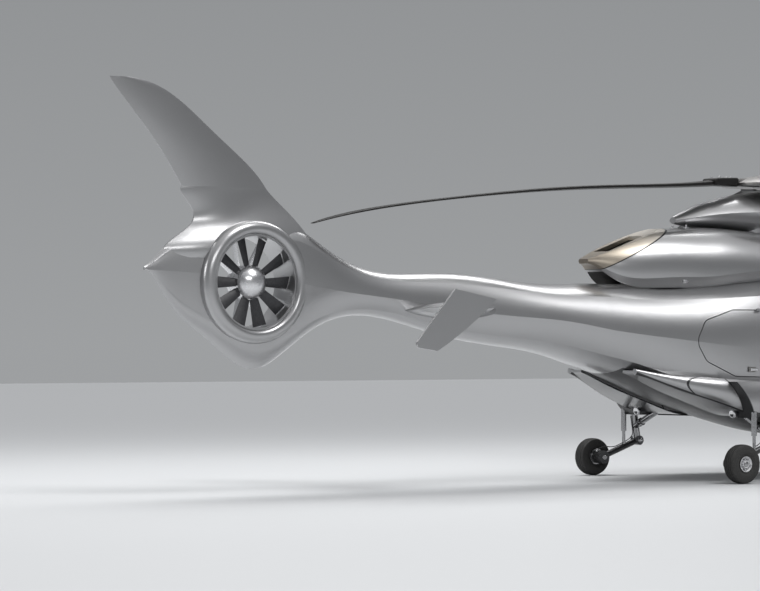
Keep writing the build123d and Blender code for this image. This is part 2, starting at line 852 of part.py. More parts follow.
stator = Cylinder(stator_hub_radius, stator_hub_depth)
for vane in ring_of(Rot(90, 0, 0) * stator_vane, stator_count, stator_turn):
    stator = stator + vane
drive_reach = (duct_radius**2 - collar_radius**2) ** 0.5 - fit_gap
stator = stator + rod((0, 0, 0), (drive_reach, 0, 0), drive_radius)
stator = stator + rod((drive_reach - collar_length, 0, 0), (drive_reach, 0, 0), collar_radius)
save("fan_stator", around_duct(Pos(0, 0, -stator_plane) * stator))

# Rotor: mast, hub, cap and blades
mast = rod((0, 0, mast_foot), (0, 0, rotor_height - hub_depth / 2), mast_radius)
swash = Pos(0, 0, swash_height) * Cylinder(swash_radius, swash_depth)
mast = mast + swash
link_top = rotor_height - hub_depth / 2
for spot in ring_of(Pos(link_place, 0, 0) * Cylinder(link_radius, fit_gap), blade_count, rotor_turn):
    foot = spot.center()
    mast = mast + rod((foot.X, foot.Y, swash_height), (foot.X, foot.Y, link_top), link_radius)
save("rotor_mast", mast)
hub = Pos(0, 0, rotor_height) * Cylinder(hub_radius, hub_depth)
for arm in ring_of(rod((0, 0, 0), (blade_root, 0, 0), hub_arm_radius), blade_count, rotor_turn):
    hub = hub + Pos(0, 0, rotor_height) * arm
hub = hub - block((-body_width, -body_width, 0), (body_width, body_width, link_top))
save("rotor_hub", hub)

save("hub_cap", make_dome(cap_radius, cap_bottom, cap_bottom + cap_edge, cap_top) - hub)


def make_blade():
    faces = []
    for reach, droop, chord, sweep, half in blade_shares:
        lead = chord * rotor_radius * blade_axis_share - sweep * rotor_radius
        origin = (reach * rotor_radius, lead, rotor_height - droop * rotor_radius)
        plane = Plane(origin=origin, x_dir=(0, -1, 0), z_dir=(1, 0, 0))
        faces.append(foil_face(plane, chord * rotor_radius, half * rotor_radius))
    return loft(faces)


for index, blade in enumerate(ring_of(make_blade(), blade_count, rotor_turn)):
    save(f"rotor_blade_{index + 1}", blade)


# Sponsons, which carry the main legs
def side_loft(rows, side, inner_share):
    faces = []
    for station, out, bottom, top in rows:
        plane = Plane(origin=(station * body_length, 0, 0), x_dir=(0, 1, 0), z_dir=(1, 0, 0))
        inner = side * inner_share * half_width
        edge = side * (out * half_width - sponson_round)
        outer = side * out * half_width
        low = bottom * body_height
        high = top * body_height
        spots = [(inner, low), (edge, low), (outer, (low + high) / 2), (edge, high), (inner, high)]
        points = [plane.from_local_coords(spot) for spot in spots]
        edges = [
            Line(*points[0:2]),
            ThreePointArc(*points[1:4]),
            Line(*points[3:5]),
            Line(points[-1], points[0]),
        ]
        faces.append(Face(Wire(edges)))
    return loft(faces)


pod_high, pod_low = [(station * body_length, height * body_height) for station, height in pod_aft_shares]
pod_end = Polyline(pod_high, pod_low, (tail_joint, pod_low[1]), (tail_joint, pod_high[1]), close=True)
pod_aft = extrude(Plane.XZ * make_face(pod_end), amount=body_width, both=True)
sponsons = {}
for name, side in sides.items():
    pod = side_loft(pod_shares, side, pod_inner_share) - pod_aft
    strake = side_loft(strake_shares, side, strake_inner_share)
    sponsons[name] = (pod + strake) - hull
    save(f"sponson_{name}", sponsons[name])


# Wheels turn about Y, each a rim with a bore and a tyre
def make_tyre(radius, width, rim):
    half = width / 2
    bead = half * bead_share
    shoulder = radius - half * shoulder_drop_share
    shoulder_half = half * shoulder_side_share
    middle = (rim + shoulder) / 2
    edges = [
        Line((rim, -bead), (rim, bead)),
        ThreePointArc((rim, bead), (middle, half), (shoulder, shoulder_half)),
        ThreePointArc((shoulder, shoulder_half), (radius, 0), (shoulder, -shoulder_half)),
        ThreePointArc((shoulder, -shoulder_half), (middle, -half), (rim, -bead)),
    ]
    return Rot(90, 0, 0) * revolve(Plane.XZ * make_face(edges), Axis.Z)


def make_rim(rim, width, bore):
    half = width / 2
    edge = rim - fit_gap
    spots = [(bore, -half), (edge, -half)]
    for radius_share, side_share in rim_shares:
        spots.append((edge * radius_share, half * side_share))
    spots.append((bore, half))
    profile = make_face(Polyline(*spots, close=True))
    return Rot(90, 0, 0) * revolve(Plane.XZ * profile, Axis.Z)


wheel_x = wheel_station_share * body_length
wheel_z = tyre_radius
elbow_x = elbow_station_share * body_length
shock_x = shock_station_share * body_length
sponson_low = pod_shares[1][2] * body_height
leg_reach = sponson_low + cut_over * 2
inner_face = wheel_side - rim_width / 2
boss_low = arm_side - elbow_radius


def lowest(shape):
    return shape.solids().sort_by(Axis.Z)[0]


gear = {"trailing_arms": [], "main_legs": [], "shocks": [], "gear_braces": []}
for name, side in sides.items():
    hub_place = Pos(wheel_x, side * wheel_side, wheel_z)
    facing = Rot(0, 0, 0 if side < 0 else full_turn / 2)
    rim = make_rim(rim_radius, rim_width, axle_radius + bearing_gap)
    save(f"main_tyre_{name}", hub_place * make_tyre(tyre_radius, tyre_width, rim_radius))
    save(f"main_wheel_{name}", hub_place * facing * rim)
    elbow = (elbow_x, side * arm_side, elbow_height)
    axle_end = side * (wheel_side + rim_width / 4)
    boss = (wheel_x, side * boss_low, wheel_z)
    arm = rod((wheel_x, side * arm_side, wheel_z), elbow, arm_radius)
    arm = arm + rod(boss, (wheel_x, side * (inner_face - fit_gap), wheel_z), brake_radius)
    arm = arm + rod(boss, (wheel_x, axle_end, wheel_z), axle_radius)
    pin = (elbow_x, side * (arm_side + elbow_radius), elbow_height)
    arm = arm + rod((elbow_x, side * boss_low, elbow_height), pin, elbow_radius)
    gear["trailing_arms"].append(arm)
    leg = rod(elbow, (elbow_x - leg_lean, side * arm_side, leg_reach), leg_radius)
    gear["main_legs"].append(lowest(leg - arm - sponsons[name] - hull))
    lift = (shock_x - wheel_x) / (elbow_x - wheel_x)
    shock_foot = (shock_x, side * arm_side, wheel_z + (elbow_height - wheel_z) * lift)
    shock_top = (shock_x, side * arm_side, leg_reach)
    middle = (shock_x, side * arm_side, (shock_foot[2] + sponson_low) / 2)
    shock = rod(shock_foot, shock_top, shock_radius) + rod(middle, shock_top, shock_sleeve)
    gear["shocks"].append(lowest(shock - arm - sponsons[name] - hull))
    brace_low = Vector(elbow_x - leg_lean / 2, side * arm_side, elbow_height + brace_foot)
    brace_top = Vector(elbow_x, side * brace_side, elbow_height + brace_foot + brace_rise * 2)
    along = (brace_top - brace_low).normalized()
    collar_low = brace_low + along * (leg_radius + collar_run)
    collar_top = collar_low + along * collar_run
    brace = rod(tuple(brace_low), tuple(brace_top), brace_radius)
    brace = brace + rod(tuple(collar_low), tuple(collar_top), brace_radius + collar_wall)
    brace = brace - rod(elbow, (elbow_x - leg_lean, side * arm_side, leg_reach), leg_radius)
    gear["gear_braces"].append(lowest(brace - arm - sponsons[name] - hull))
for name, pieces in gear.items():
    save(name, Compound(children=pieces))

# Nose leg, steered fork and wheel
nose_x = nose_station_share * body_length
nose_axle_x = nose_x - nose_trail
nose_place = Pos(nose_axle_x, 0, nose_tyre_radius)
crown_low = nose_tyre_radius * 2 + fork_clear
crown_top = crown_low + crown_depth
save("nose_tyre", nose_place * make_tyre(nose_tyre_radius, nose_tyre_width, nose_rim_radius))
save("nose_wheel", nose_place * make_rim(nose_rim_radius, nose_rim_width, axle_radius + bearing_gap))
fork_side = nose_tyre_width / 2 + fork_gap
crown = block(
    (nose_axle_x - fork_arm, -fork_side - fork_wall, crown_low),
    (nose_x + nose_leg_radius, fork_side + fork_wall, crown_top),
)
axle_low = (nose_axle_x, -fork_side, nose_tyre_radius)
fork = crown + rod(axle_low, (nose_axle_x, fork_side, nose_tyre_radius), axle_radius)
for side in sides.values():
    inner = side * fork_side
    outer = side * (fork_side + fork_wall)
    fork = fork + block(
        (nose_axle_x - fork_arm / 2, min(inner, outer), nose_tyre_radius - fork_arm / 2),
        (nose_axle_x + fork_arm / 2, max(inner, outer), crown_top),
    )
bore_low = (nose_axle_x, -half_width, nose_tyre_radius)
tow_bore = rod(bore_low, (nose_axle_x, half_width, nose_tyre_radius), tow_radius)
save("nose_fork", fork - tow_bore)
nose_leg = rod((nose_x, 0, crown_top + steer_gap), (nose_x, 0, half_width), nose_leg_radius) - hull
save("nose_leg", lowest(nose_leg))
well_doors = []
well_door_low = crown_top + well_door_clear
for side in sides.values():
    door = block(
        (nose_x - well_door_length / 2, side * well_door_side - well_door_wall / 2, well_door_low),
        (nose_x + well_door_length / 2, side * well_door_side + well_door_wall / 2, floor_top),
    )
    well_doors.append(lowest(door - hull))
save("nose_gear_doors", Compound(children=well_doors))
jack_pads = []
for name, side in sides.items():
    middle = (jack_station_share * body_length, side * jack_side, sponson_low - jack_drop)
    pad = rod(middle, (middle[0], middle[1], sponson_low + cut_over), jack_radius)
    jack_pads.append(lowest(pad - sponsons[name] - hull))
save("jack_pads", Compound(children=jack_pads))


# Cabin fittings
def cushion(low, high):
    shape = block(low, high)
    radius = min(high[0] - low[0], high[2] - low[2]) * cushion_round_share
    return fillet(shape.edges(), radius)


seat_x = seat_station_share * body_length
seats = {"seat_bases": [], "seat_cushions": [], "seat_backs": []}
for name, side in sides.items():
    middle = side * seat_side
    base = block(
        (seat_x - seat_base_length / 2, middle - seat_base_half, floor_top + fit_gap),
        (seat_x + seat_base_length / 2, middle + seat_base_half, cushion_foot),
    )
    pad = cushion(
        (seat_x - cushion_length / 2, middle - seat_half, cushion_foot + fit_gap),
        (seat_x + cushion_length / 2, middle + seat_half, cushion_foot + cushion_depth),
    )
    back = cushion((0, middle - seat_half, 0), (back_depth, middle + seat_half, back_height))
    back_place = Pos(seat_x - cushion_length / 2 - back_tuck, 0, cushion_foot + cushion_depth / 2)
    back = (back_place * Rot(0, -back_lean, 0) * back) - pad - base
    seats["seat_bases"].append(base)
    seats["seat_cushions"].append(pad)
    seats["seat_backs"].append(back)
for name, pieces in seats.items():
    save(name, Compound(children=[piece.solids().sort_by(SortBy.VOLUME)[-1] for piece in pieces]))
bench_x = bench_station_share * body_length
bench_base = block(
    (bench_x - bench_length / 2, -bench_half * bench_base_share, floor_top + fit_gap),
    (bench_x + bench_length / 2 - cut_over, bench_half * bench_base_share, cushion_foot),
)
save("bench_base", bench_base)
bench_pad = cushion(
    (bench_x - bench_length / 2, -bench_half, cushion_foot + fit_gap),
    (bench_x + bench_length / 2, bench_half, cushion_foot + cushion_depth),
)
save("bench_cushion", bench_pad)
bench_back = cushion(
    (cabin_joint + fit_gap, -bench_half, cushion_foot + cushion_depth + fit_gap),
    (cabin_joint + back_depth, bench_half, cushion_foot + cushion_depth + bench_back_height),
)
save("bench_back", bench_back)
panel_x = panel_station_share * body_length
panel = block(
    (panel_x, -panel_half, panel_foot),
    (panel_x + panel_depth, panel_half, panel_foot + panel_height),
)
console = block(
    (panel_x - console_length, -console_half, floor_top + fit_gap),
    (panel_x + panel_depth, console_half, floor_top + console_height),
)
stem_low = (panel_x + panel_depth - stem_depth, -console_half, floor_top + fit_gap)
stem = block(stem_low, (panel_x + panel_depth, console_half, panel_foot))
save("instrument_panel", panel + console + stem)

# Sticks, collective levers and pedals, each standing on the floor
controls = []
stick_x = stick_station_share * body_length
lever_x = lever_station_share * body_length
pedal_x = pedal_station_share * body_length
floor_seat = floor_top + fit_gap
under_floor = block((0, -half_width, 0), (nose_end, half_width, floor_seat))
for side in sides.values():
    foot = (stick_x, side * seat_side, floor_seat)
    shaft = rod((0, 0, 0), (0, 0, stick_height), stick_radius)
    shaft = shaft + rod((0, 0, stick_height - grip_length), (0, 0, stick_height + grip_radius), grip_radius)
    controls.append(Pos(*foot) * Rot(0, -stick_lean, 0) * shaft - under_floor)
    lever = rod((0, 0, 0), (0, 0, lever_length), lever_radius)
    lever = lever + rod((0, 0, lever_length - grip_length), (0, 0, lever_length + grip_radius), grip_radius)
    lever_place = (lever_x, side * lever_side, floor_seat)
    lever = Pos(*lever_place) * Rot(0, lever_lean, 0) * lever
    controls.append(lever - under_floor)
    for step in sides.values():
        pedal_y = side * seat_side + step * pedal_side
        plate = block(
            (pedal_x, pedal_y - pedal_width / 2, floor_seat + pedal_height / 2),
            (pedal_x + pedal_wall, pedal_y + pedal_width / 2, floor_seat + pedal_height / 2 + pedal_height),
        )
        post_x = pedal_x + pedal_wall
        post_foot = (post_x, pedal_y, floor_seat)
        pedal = plate + rod(post_foot, (post_x, pedal_y, floor_seat + pedal_height), pedal_rod)
        controls.append(pedal)
save("flight_controls", Compound(children=[piece.solids().sort_by(SortBy.VOLUME)[-1] for piece in controls]))
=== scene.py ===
import bpy
import json
import math
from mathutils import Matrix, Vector
from mathutils.bvhtree import BVHTree

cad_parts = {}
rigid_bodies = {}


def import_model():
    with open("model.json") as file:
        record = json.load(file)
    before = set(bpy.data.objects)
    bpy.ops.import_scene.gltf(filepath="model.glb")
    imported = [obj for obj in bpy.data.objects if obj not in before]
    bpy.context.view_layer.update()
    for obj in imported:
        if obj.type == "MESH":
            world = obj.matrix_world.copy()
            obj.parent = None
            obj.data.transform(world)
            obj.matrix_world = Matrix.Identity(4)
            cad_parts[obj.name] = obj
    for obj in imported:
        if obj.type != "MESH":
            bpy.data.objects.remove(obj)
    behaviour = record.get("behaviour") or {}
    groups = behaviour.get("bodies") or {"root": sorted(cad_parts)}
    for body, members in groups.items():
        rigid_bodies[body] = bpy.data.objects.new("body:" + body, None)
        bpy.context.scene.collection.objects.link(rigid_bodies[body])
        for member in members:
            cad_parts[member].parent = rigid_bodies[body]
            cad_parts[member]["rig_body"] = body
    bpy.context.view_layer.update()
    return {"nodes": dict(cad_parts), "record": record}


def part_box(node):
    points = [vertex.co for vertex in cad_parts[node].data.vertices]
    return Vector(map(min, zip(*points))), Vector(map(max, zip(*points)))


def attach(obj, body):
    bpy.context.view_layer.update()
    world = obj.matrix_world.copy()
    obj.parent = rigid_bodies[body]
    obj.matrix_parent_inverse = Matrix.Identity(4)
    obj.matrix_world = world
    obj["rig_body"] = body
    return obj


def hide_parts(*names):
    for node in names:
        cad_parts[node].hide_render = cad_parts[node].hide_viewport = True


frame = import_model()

nodes = frame["nodes"]
print("frame loaded:", len(nodes), "nodes")

# camera: low behind the right side of the tail, as in the photo
cameraSettings = {
    "place": (-16.958, -20.416, 1.286),
    "ahead": (0.5771, 0.8166, 0.0),
    "lens": 135.0,
    "sensor": 36.0,
    "horizonRow": 343.0,
    "frameWidth": 760.0,
    "frameHeight": 591.0,
    "farthest": 400.0,
}


def makeCamera(settings):
    bpy.ops.object.select_all(action="DESELECT")
    bpy.ops.object.camera_add(location=settings["place"])
    camera = bpy.context.object
    camera.name = "photoCamera"
    camera.rotation_mode = "QUATERNION"
    camera.rotation_quaternion = Vector(settings["ahead"]).to_track_quat("-Z", "Y")
    camera.data.lens = settings["lens"]
    camera.data.sensor_width = settings["sensor"]
    # the horizon lies below the middle of the picture
    middleRow = settings["frameHeight"] / 2
    camera.data.shift_y = (settings["horizonRow"] - middleRow) / settings["frameWidth"]
    camera.data.clip_end = settings["farthest"]
    bpy.context.scene.camera = camera
    return camera


makeCamera(cameraSettings)
print("camera set")

# floor and light
stageSettings = {
    "floorHalf": 60.0,
    "floorColour": (0.60, 0.61, 0.62, 1.0),
    "floorRough": 0.55,
    # brightness of the world from the horizon up to straight overhead
    "worldStops": [
        (0.50, (0.40, 0.41, 0.42, 1.0)),
        (0.56, (0.34, 0.35, 0.36, 1.0)),
        (0.70, (0.22, 0.225, 0.235, 1.0)),
        (0.86, (0.55, 0.56, 0.58, 1.0)),
        (1.0, (1.0, 1.0, 1.0, 1.0)),
    ],
    "worldStrength": 0.85,
    "sunTurn": (0.55, 0.25, 0.0),
    "sunPower": 1.1,
    "sunSpread": 0.45,
    "lamps": [
        # name, place, aim, size, power
        ("topLamp", (-1.0, 3.5, 9.5), (-1.0, 0.0, 1.8), (15.0, 4.0), 900.0),
        ("sideLamp", (-9.0, -15.0, 9.0), (-2.0, 0.0, 1.9), (9.0, 3.0), 420.0),
        ("tailLamp", (-17.0, 3.0, 6.0), (-4.0, 0.0, 1.9), (4.0, 4.0), 240.0),
    ],
}


def newMaterial(name):
    material = bpy.data.materials.new(name)
    material.use_nodes = True
    tree = material.node_tree
    shader = tree.nodes["Principled BSDF"]
    return material, tree, shader


def makeFloor(settings):
    bpy.ops.object.select_all(action="DESELECT")
    bpy.ops.mesh.primitive_plane_add(size=settings["floorHalf"] * 2, location=(0, 0, 0))
    floor = bpy.context.object
    floor.name = "studioFloor"
    material, tree, shader = newMaterial("paleFloor")
    shader.inputs["Base Color"].default_value = settings["floorColour"]
    shader.inputs["Roughness"].default_value = settings["floorRough"]
    floor.data.materials.append(material)


def makeLights(settings):
    world = bpy.data.worlds.new("studioWorld")
    bpy.context.scene.world = world
    world.use_nodes = True
    tree = world.node_tree
    background = tree.nodes["Background"]
    background.inputs["Strength"].default_value = settings["worldStrength"]
    x, y, z = placeAxes(tree, "Generated")
    # from -1 to 1 into 0 to 1
    height = maths(tree, "MULTIPLY_ADD", z, 0.5, 0.5)
    shade = ramp(tree, height, settings["worldStops"])
    tree.links.new(shade.outputs["Color"], background.inputs["Color"])
    bpy.ops.object.light_add(type="SUN", rotation=settings["sunTurn"])
    sun = bpy.context.object
    sun.name = "softSun"
    sun.data.energy = settings["sunPower"]
    sun.data.angle = settings["sunSpread"]
    for name, place, aim, size, power in settings["lamps"]:
        bpy.ops.object.light_add(type="AREA", location=place)
        lamp = bpy.context.object
        lamp.name = name
        lamp.data.shape = "RECTANGLE"
        lamp.data.size, lamp.data.size_y = size
        lamp.data.energy = power
        ahead = Vector(aim) - Vector(place)
        lamp.rotation_euler = ahead.to_track_quat("-Z", "Y").to_euler()


# materials, all on object coordinates
def objectNoise(tree, scale, detail=4.0, rough=0.5, stretch=None):
    coordinates = tree.nodes.new("ShaderNodeTexCoord")
    noise = tree.nodes.new("ShaderNodeTexNoise")
    noise.inputs["Scale"].default_value = scale
    noise.inputs["Detail"].default_value = detail
    noise.inputs["Roughness"].default_value = rough
    if stretch:
        mapping = tree.nodes.new("ShaderNodeMapping")
        mapping.inputs["Scale"].default_value = stretch
        tree.links.new(coordinates.outputs["Object"], mapping.inputs["Vector"])
        tree.links.new(mapping.outputs["Vector"], noise.inputs["Vector"])
    else:
        tree.links.new(coordinates.outputs["Object"], noise.inputs["Vector"])
    return noise


def ramp(tree, source, stops):
    node = tree.nodes.new("ShaderNodeValToRGB")
    while len(node.color_ramp.elements) < len(stops):
        node.color_ramp.elements.new(0.5)
    for element, (place, colour) in zip(node.color_ramp.elements, stops):
        element.position = place
        element.color = colour
    tree.links.new(source, node.inputs["Fac"])
    return node


def remap(tree, source, low, high):
    node = tree.nodes.new("ShaderNodeMapRange")
    node.inputs["To Min"].default_value = low
    node.inputs["To Max"].default_value = high
    tree.links.new(source, node.inputs["Value"])
    return node.outputs["Result"]


def bump(tree, shader, source, strength, distance):
    node = tree.nodes.new("ShaderNodeBump")
    node.inputs["Strength"].default_value = strength
    node.inputs["Distance"].default_value = distance
    tree.links.new(source, node.inputs["Height"])
    tree.links.new(node.outputs["Normal"], shader.inputs["Normal"])


def maths(tree, operation, first, second=None, third=None):
    node = tree.nodes.new("ShaderNodeMath")
    node.operation = operation
    for socket, value in zip(node.inputs, (first, second, third)):
        if value is None:
            continue
        if isinstance(value, (int, float)):
            socket.default_value = value
        else:
            tree.links.new(value, socket)
    return node.outputs["Value"]


def placeAxes(tree, frameOf="Object"):
    coordinates = tree.nodes.new("ShaderNodeTexCoord")
    split = tree.nodes.new("ShaderNodeSeparateXYZ")
    tree.links.new(coordinates.outputs[frameOf], split.inputs["Vector"])
    return split.outputs["X"], split.outputs["Y"], split.outputs["Z"]


# height of a straight line in side view at each point's x
def lineHeight(tree, x, start, end):
    slope = (end[1] - start[1]) / (end[0] - start[0])
    return maths(tree, "MULTIPLY_ADD", x, slope, start[1] - slope * start[0])


paintSettings = {
    "light": (0.47, 0.47, 0.475, 1.0),
    "dark": (0.36, 0.36, 0.365, 1.0),
    "metallic": 0.88,
    "roughLow": 0.26,
    "roughHigh": 0.34,
    "flakeScale": 900.0,
    "darkStop": 0.35,
    "lightStop": 0.65,
    "cloudScale": 1.4,
    "coat": 0.45,
    "coatRough": 0.06,
    "belly": (0.012, 0.012, 0.013, 1.0),
    # side view of the black belly's edge: two straight stretches
    "bellyAft": ((-0.39, 1.10), (0.03, 1.03)),
    "bellyFore": ((0.03, 1.03), (1.01, 0.62)),
    "bellyBlend": 0.006,
}


def makePaint(settings):
    material, tree, shader = newMaterial("satinSilverPaint")
    flake = objectNoise(tree, settings["flakeScale"], 2.0, 0.7)
    cloud = objectNoise(tree, settings["cloudScale"], 3.0, 0.5)
    stops = [
        (settings["darkStop"], settings["dark"]),
        (settings["lightStop"], settings["light"]),
    ]
    colour = ramp(tree, flake.outputs["Fac"], stops)
    tree.links.new(colour.outputs["Color"], shader.inputs["Base Color"])
    shader.inputs["Metallic"].default_value = settings["metallic"]
    rough = remap(tree, cloud.outputs["Fac"], settings["roughLow"], settings["roughHigh"])
    tree.links.new(rough, shader.inputs["Roughness"])
    shader.inputs["Coat Weight"].default_value = settings["coat"]
    shader.inputs["Coat Roughness"].default_value = settings["coatRough"]
    return material


# the same paint with the lower part black: mask is 1 where the part is black
def makeTwoTone(name, settings, maskOf):
    material = finishes["body_silver"].copy()
    material.name = name
    tree = material.node_tree
    shader = tree.nodes["Principled BSDF"]
    mask = maskOf(tree, settings)
    silver = shader.inputs["Base Color"].links[0].from_socket
    mix = tree.nodes.new("ShaderNodeMix")
    mix.data_type = "RGBA"
    tree.links.new(mask, mix.inputs["Factor"])
    tree.links.new(silver, mix.inputs["A"])
    mix.inputs["B"].default_value = settings["belly"]
    tree.links.new(mix.outputs["Result"], shader.inputs["Base Color"])
    metal = maths(tree, "MULTIPLY_ADD", mask, -settings["metallic"], settings["metallic"])
    tree.links.new(metal, shader.inputs["Metallic"])
    return material


def below(tree, height, line, blend):
    depth = maths(tree, "SUBTRACT", line, height)
    node = tree.nodes.new("ShaderNodeMapRange")
    node.inputs["From Min"].default_value = -blend
    node.inputs["From Max"].default_value = blend
    tree.links.new(depth, node.inputs["Value"])
    return node.outputs["Result"]


def bellyMask(tree, settings):
    x, y, z = placeAxes(tree)
    aft = lineHeight(tree, x, *settings["bellyAft"])
    fore = lineHeight(tree, x, *settings["bellyFore"])
    edge = maths(tree, "MINIMUM", aft, fore)
    return below(tree, z, edge, settings["bellyBlend"])


sponsonTone = {
    # the leaning aft face in side view, and the half width of the band on it
    "aftFace": ((0.67, 1.18), (1.15, 0.44)),
    "aftDepth": 0.012,
    # everything lower than this is black
    "lowEdge": 0.600,
    # the strake's underside in side view, row by row
    "under": (
        (-0.01, 1.012),
        (0.26, 0.904),
        (0.55, 0.798),
        (0.79, 0.72),
        (1.05, 0.636),
        (1.31, 0.6),
    ),
    "underRise": 0.012,
    "underBlend": 0.002,
    # the pod's inner side, a flat face
    "innerSide": 0.70,
    "innerHalf": 0.005,
    "innerBlend": 0.001,
}


def sponsonMask(tree, settings):
    tone = sponsonTone
    x, y, z = placeAxes(tree)
    blend = settings["bellyBlend"]
    face = lineHeight(tree, x, *tone["aftFace"])
    gap = maths(tree, "ABSOLUTE", maths(tree, "SUBTRACT", z, face))
    aft = below(tree, gap, tone["aftDepth"], blend)
    low = below(tree, z, tone["lowEdge"], blend)
    out = maths(tree, "ABSOLUTE", y)
    step = maths(tree, "ABSOLUTE", maths(tree, "SUBTRACT", out, tone["innerSide"]))
    inner = below(tree, step, tone["innerHalf"], tone["innerBlend"])
    rows = tone["under"]
    for start, end in zip(rows, rows[1:]):
        edge = maths(tree, "ADD", lineHeight(tree, x, start, end), tone["underRise"])
        after = maths(tree, "GREATER_THAN", x, start[0])
        near = maths(tree, "MULTIPLY", after, maths(tree, "LESS_THAN", x, end[0]))
        under = maths(tree, "MULTIPLY", near, below(tree, z, edge, tone["underBlend"]))
        low = maths(tree, "MAXIMUM", low, under)
    return maths(tree, "MAXIMUM", low, maths(tree, "MAXIMUM", inner, aft))


finishTable = {
    # name: dark colour, light colour, metallic, low and high roughness, pattern scale, bump
    "belly_black": ((0.012, 0.012, 0.013), (0.03, 0.03, 0.032), 0.0, 0.28, 0.42, 60.0, 0.0004),
    "blade_black": ((0.006, 0.006, 0.006), (0.018, 0.016, 0.015), 0.0, 0.34, 0.50, 140.0, 0.0002),
    "fan_black": ((0.016, 0.016, 0.018), (0.05, 0.05, 0.054), 0.2, 0.26, 0.42, 90.0, 0.0003),
    "bright_alloy": ((0.60, 0.60, 0.61), (0.80, 0.80, 0.81), 1.0, 0.18, 0.34, 80.0, 0.0003),
    "hub_alloy": ((0.20, 0.195, 0.19), (0.34, 0.33, 0.32), 1.0, 0.30, 0.45, 70.0, 0.0003),
    "gear_steel": ((0.05, 0.05, 0.052), (0.14, 0.14, 0.145), 0.8, 0.20, 0.38, 110.0, 0.0003),
    "gear_chrome": ((0.30, 0.30, 0.305), (0.44, 0.44, 0.45), 1.0, 0.08, 0.18, 60.0, 0.0001),
    "cast_metal": ((0.14, 0.14, 0.145), (0.28, 0.28, 0.29), 0.8, 0.50, 0.70, 90.0, 0.001),
    "seat_leather": ((0.20, 0.12, 0.075), (0.33, 0.21, 0.13), 0.0, 0.42, 0.60, 260.0, 0.0006),
    "trim_dark": ((0.028, 0.028, 0.03), (0.06, 0.06, 0.065), 0.0, 0.50, 0.68, 420.0, 0.0005),
    "tyre": ((0.014, 0.014, 0.014), (0.045, 0.044, 0.042), 0.0, 0.66, 0.86, 120.0, 0.0008),
}


def makeFinish(name, values):
    dark, light, metallic, roughLow, roughHigh, scale, depth = values
    material, tree, shader = newMaterial(name)
    noise = objectNoise(tree, scale, 5.0, 0.6)
    cloud = objectNoise(tree, scale / 12, 3.0, 0.5)
    stops = [(0.30, (*dark, 1.0)), (0.70, (*light, 1.0))]
    colour = ramp(tree, noise.outputs["Fac"], stops)
    tree.links.new(colour.outputs["Color"], shader.inputs["Base Color"])
    shader.inputs["Metallic"].default_value = metallic
    rough = remap(tree, cloud.outputs["Fac"], roughLow, roughHigh)
    tree.links.new(rough, shader.inputs["Roughness"])
    bump(tree, shader, noise.outputs["Fac"], 0.35, depth)
    return material


heatSettings = {
    "stops": [
        (0.0, (0.20, 0.175, 0.15, 1.0)),
        (0.45, (0.36, 0.32, 0.265, 1.0)),
        (0.75, (0.54, 0.49, 0.42, 1.0)),
        (1.0, (0.62, 0.585, 0.53, 1.0)),
    ],
    # from the lip of the exhaust to the seam, along the body
    "lipX": -0.22,
    "seamX": 0.66,
    # the panel's seam in side view, and the half width of its dark line
    "seam": ((-0.11, 1.964), (0.66, 2.344)),
    "seamHalf": 0.010,
    "seamBlend": 0.002,
    # the streaks' scale, stretch and strength, and the metal's roughness
    "streakScale": 30.0,
    "streakStretch": (0.2, 1.0, 3.0),
    "streakShare": 0.35,
    "roughLow": 0.26,
    "roughHigh": 0.44,
    "seamColour": (0.02, 0.02, 0.02, 1.0),
}


def makeHeatMetal(settings):
    material, tree, shader = newMaterial("heatTintedMetal")
    x, y, z = placeAxes(tree)
    along = tree.nodes.new("ShaderNodeMapRange")
    along.inputs["From Min"].default_value = settings["lipX"]
    along.inputs["From Max"].default_value = settings["seamX"]
    tree.links.new(x, along.inputs["Value"])
    streak = objectNoise(tree, settings["streakScale"], 4.0, 0.6, settings["streakStretch"])
    share = settings["streakShare"]
    mix = maths(tree, "MULTIPLY_ADD", streak.outputs["Fac"], share, along.outputs["Result"])
    colour = ramp(tree, mix, settings["stops"])
    line = lineHeight(tree, x, *settings["seam"])
    gap = maths(tree, "ABSOLUTE", maths(tree, "SUBTRACT", z, line))
    seam = tree.nodes.new("ShaderNodeMix")
    seam.data_type = "RGBA"
    onSeam = below(tree, gap, settings["seamHalf"], settings["seamBlend"])
    tree.links.new(onSeam, seam.inputs["Factor"])
    tree.links.new(colour.outputs["Color"], seam.inputs["A"])
    seam.inputs["B"].default_value = settings["seamColour"]
    tree.links.new(seam.outputs["Result"], shader.inputs["Base Color"])
    shader.inputs["Metallic"].default_value = 1.0
    rough = remap(tree, streak.outputs["Fac"], settings["roughLow"], settings["roughHigh"])
    tree.links.new(rough, shader.inputs["Roughness"])
    return material


glassSettings = {
    "scale": 3.0,
    "stops": [
        (0.3, (0.10, 0.11, 0.115, 1.0)),
        (0.7, (0.14, 0.15, 0.155, 1.0)),
    ],
    "rough": 0.03,
    "alpha": 0.45,
    "coat": 0.6,
    "coatRough": 0.02,
}


def makeGlass(settings):
    material, tree, shader = newMaterial("tintedPane")
    cloud = objectNoise(tree, settings["scale"], 2.0, 0.5)
    colour = ramp(tree, cloud.outputs["Fac"], settings["stops"])
    tree.links.new(colour.outputs["Color"], shader.inputs["Base Color"])
    shader.inputs["Roughness"].default_value = settings["rough"]
    shader.inputs["Alpha"].default_value = settings["alpha"]
    shader.inputs["Coat Weight"].default_value = settings["coat"]
    shader.inputs["Coat Roughness"].default_value = settings["coatRough"]
    return material


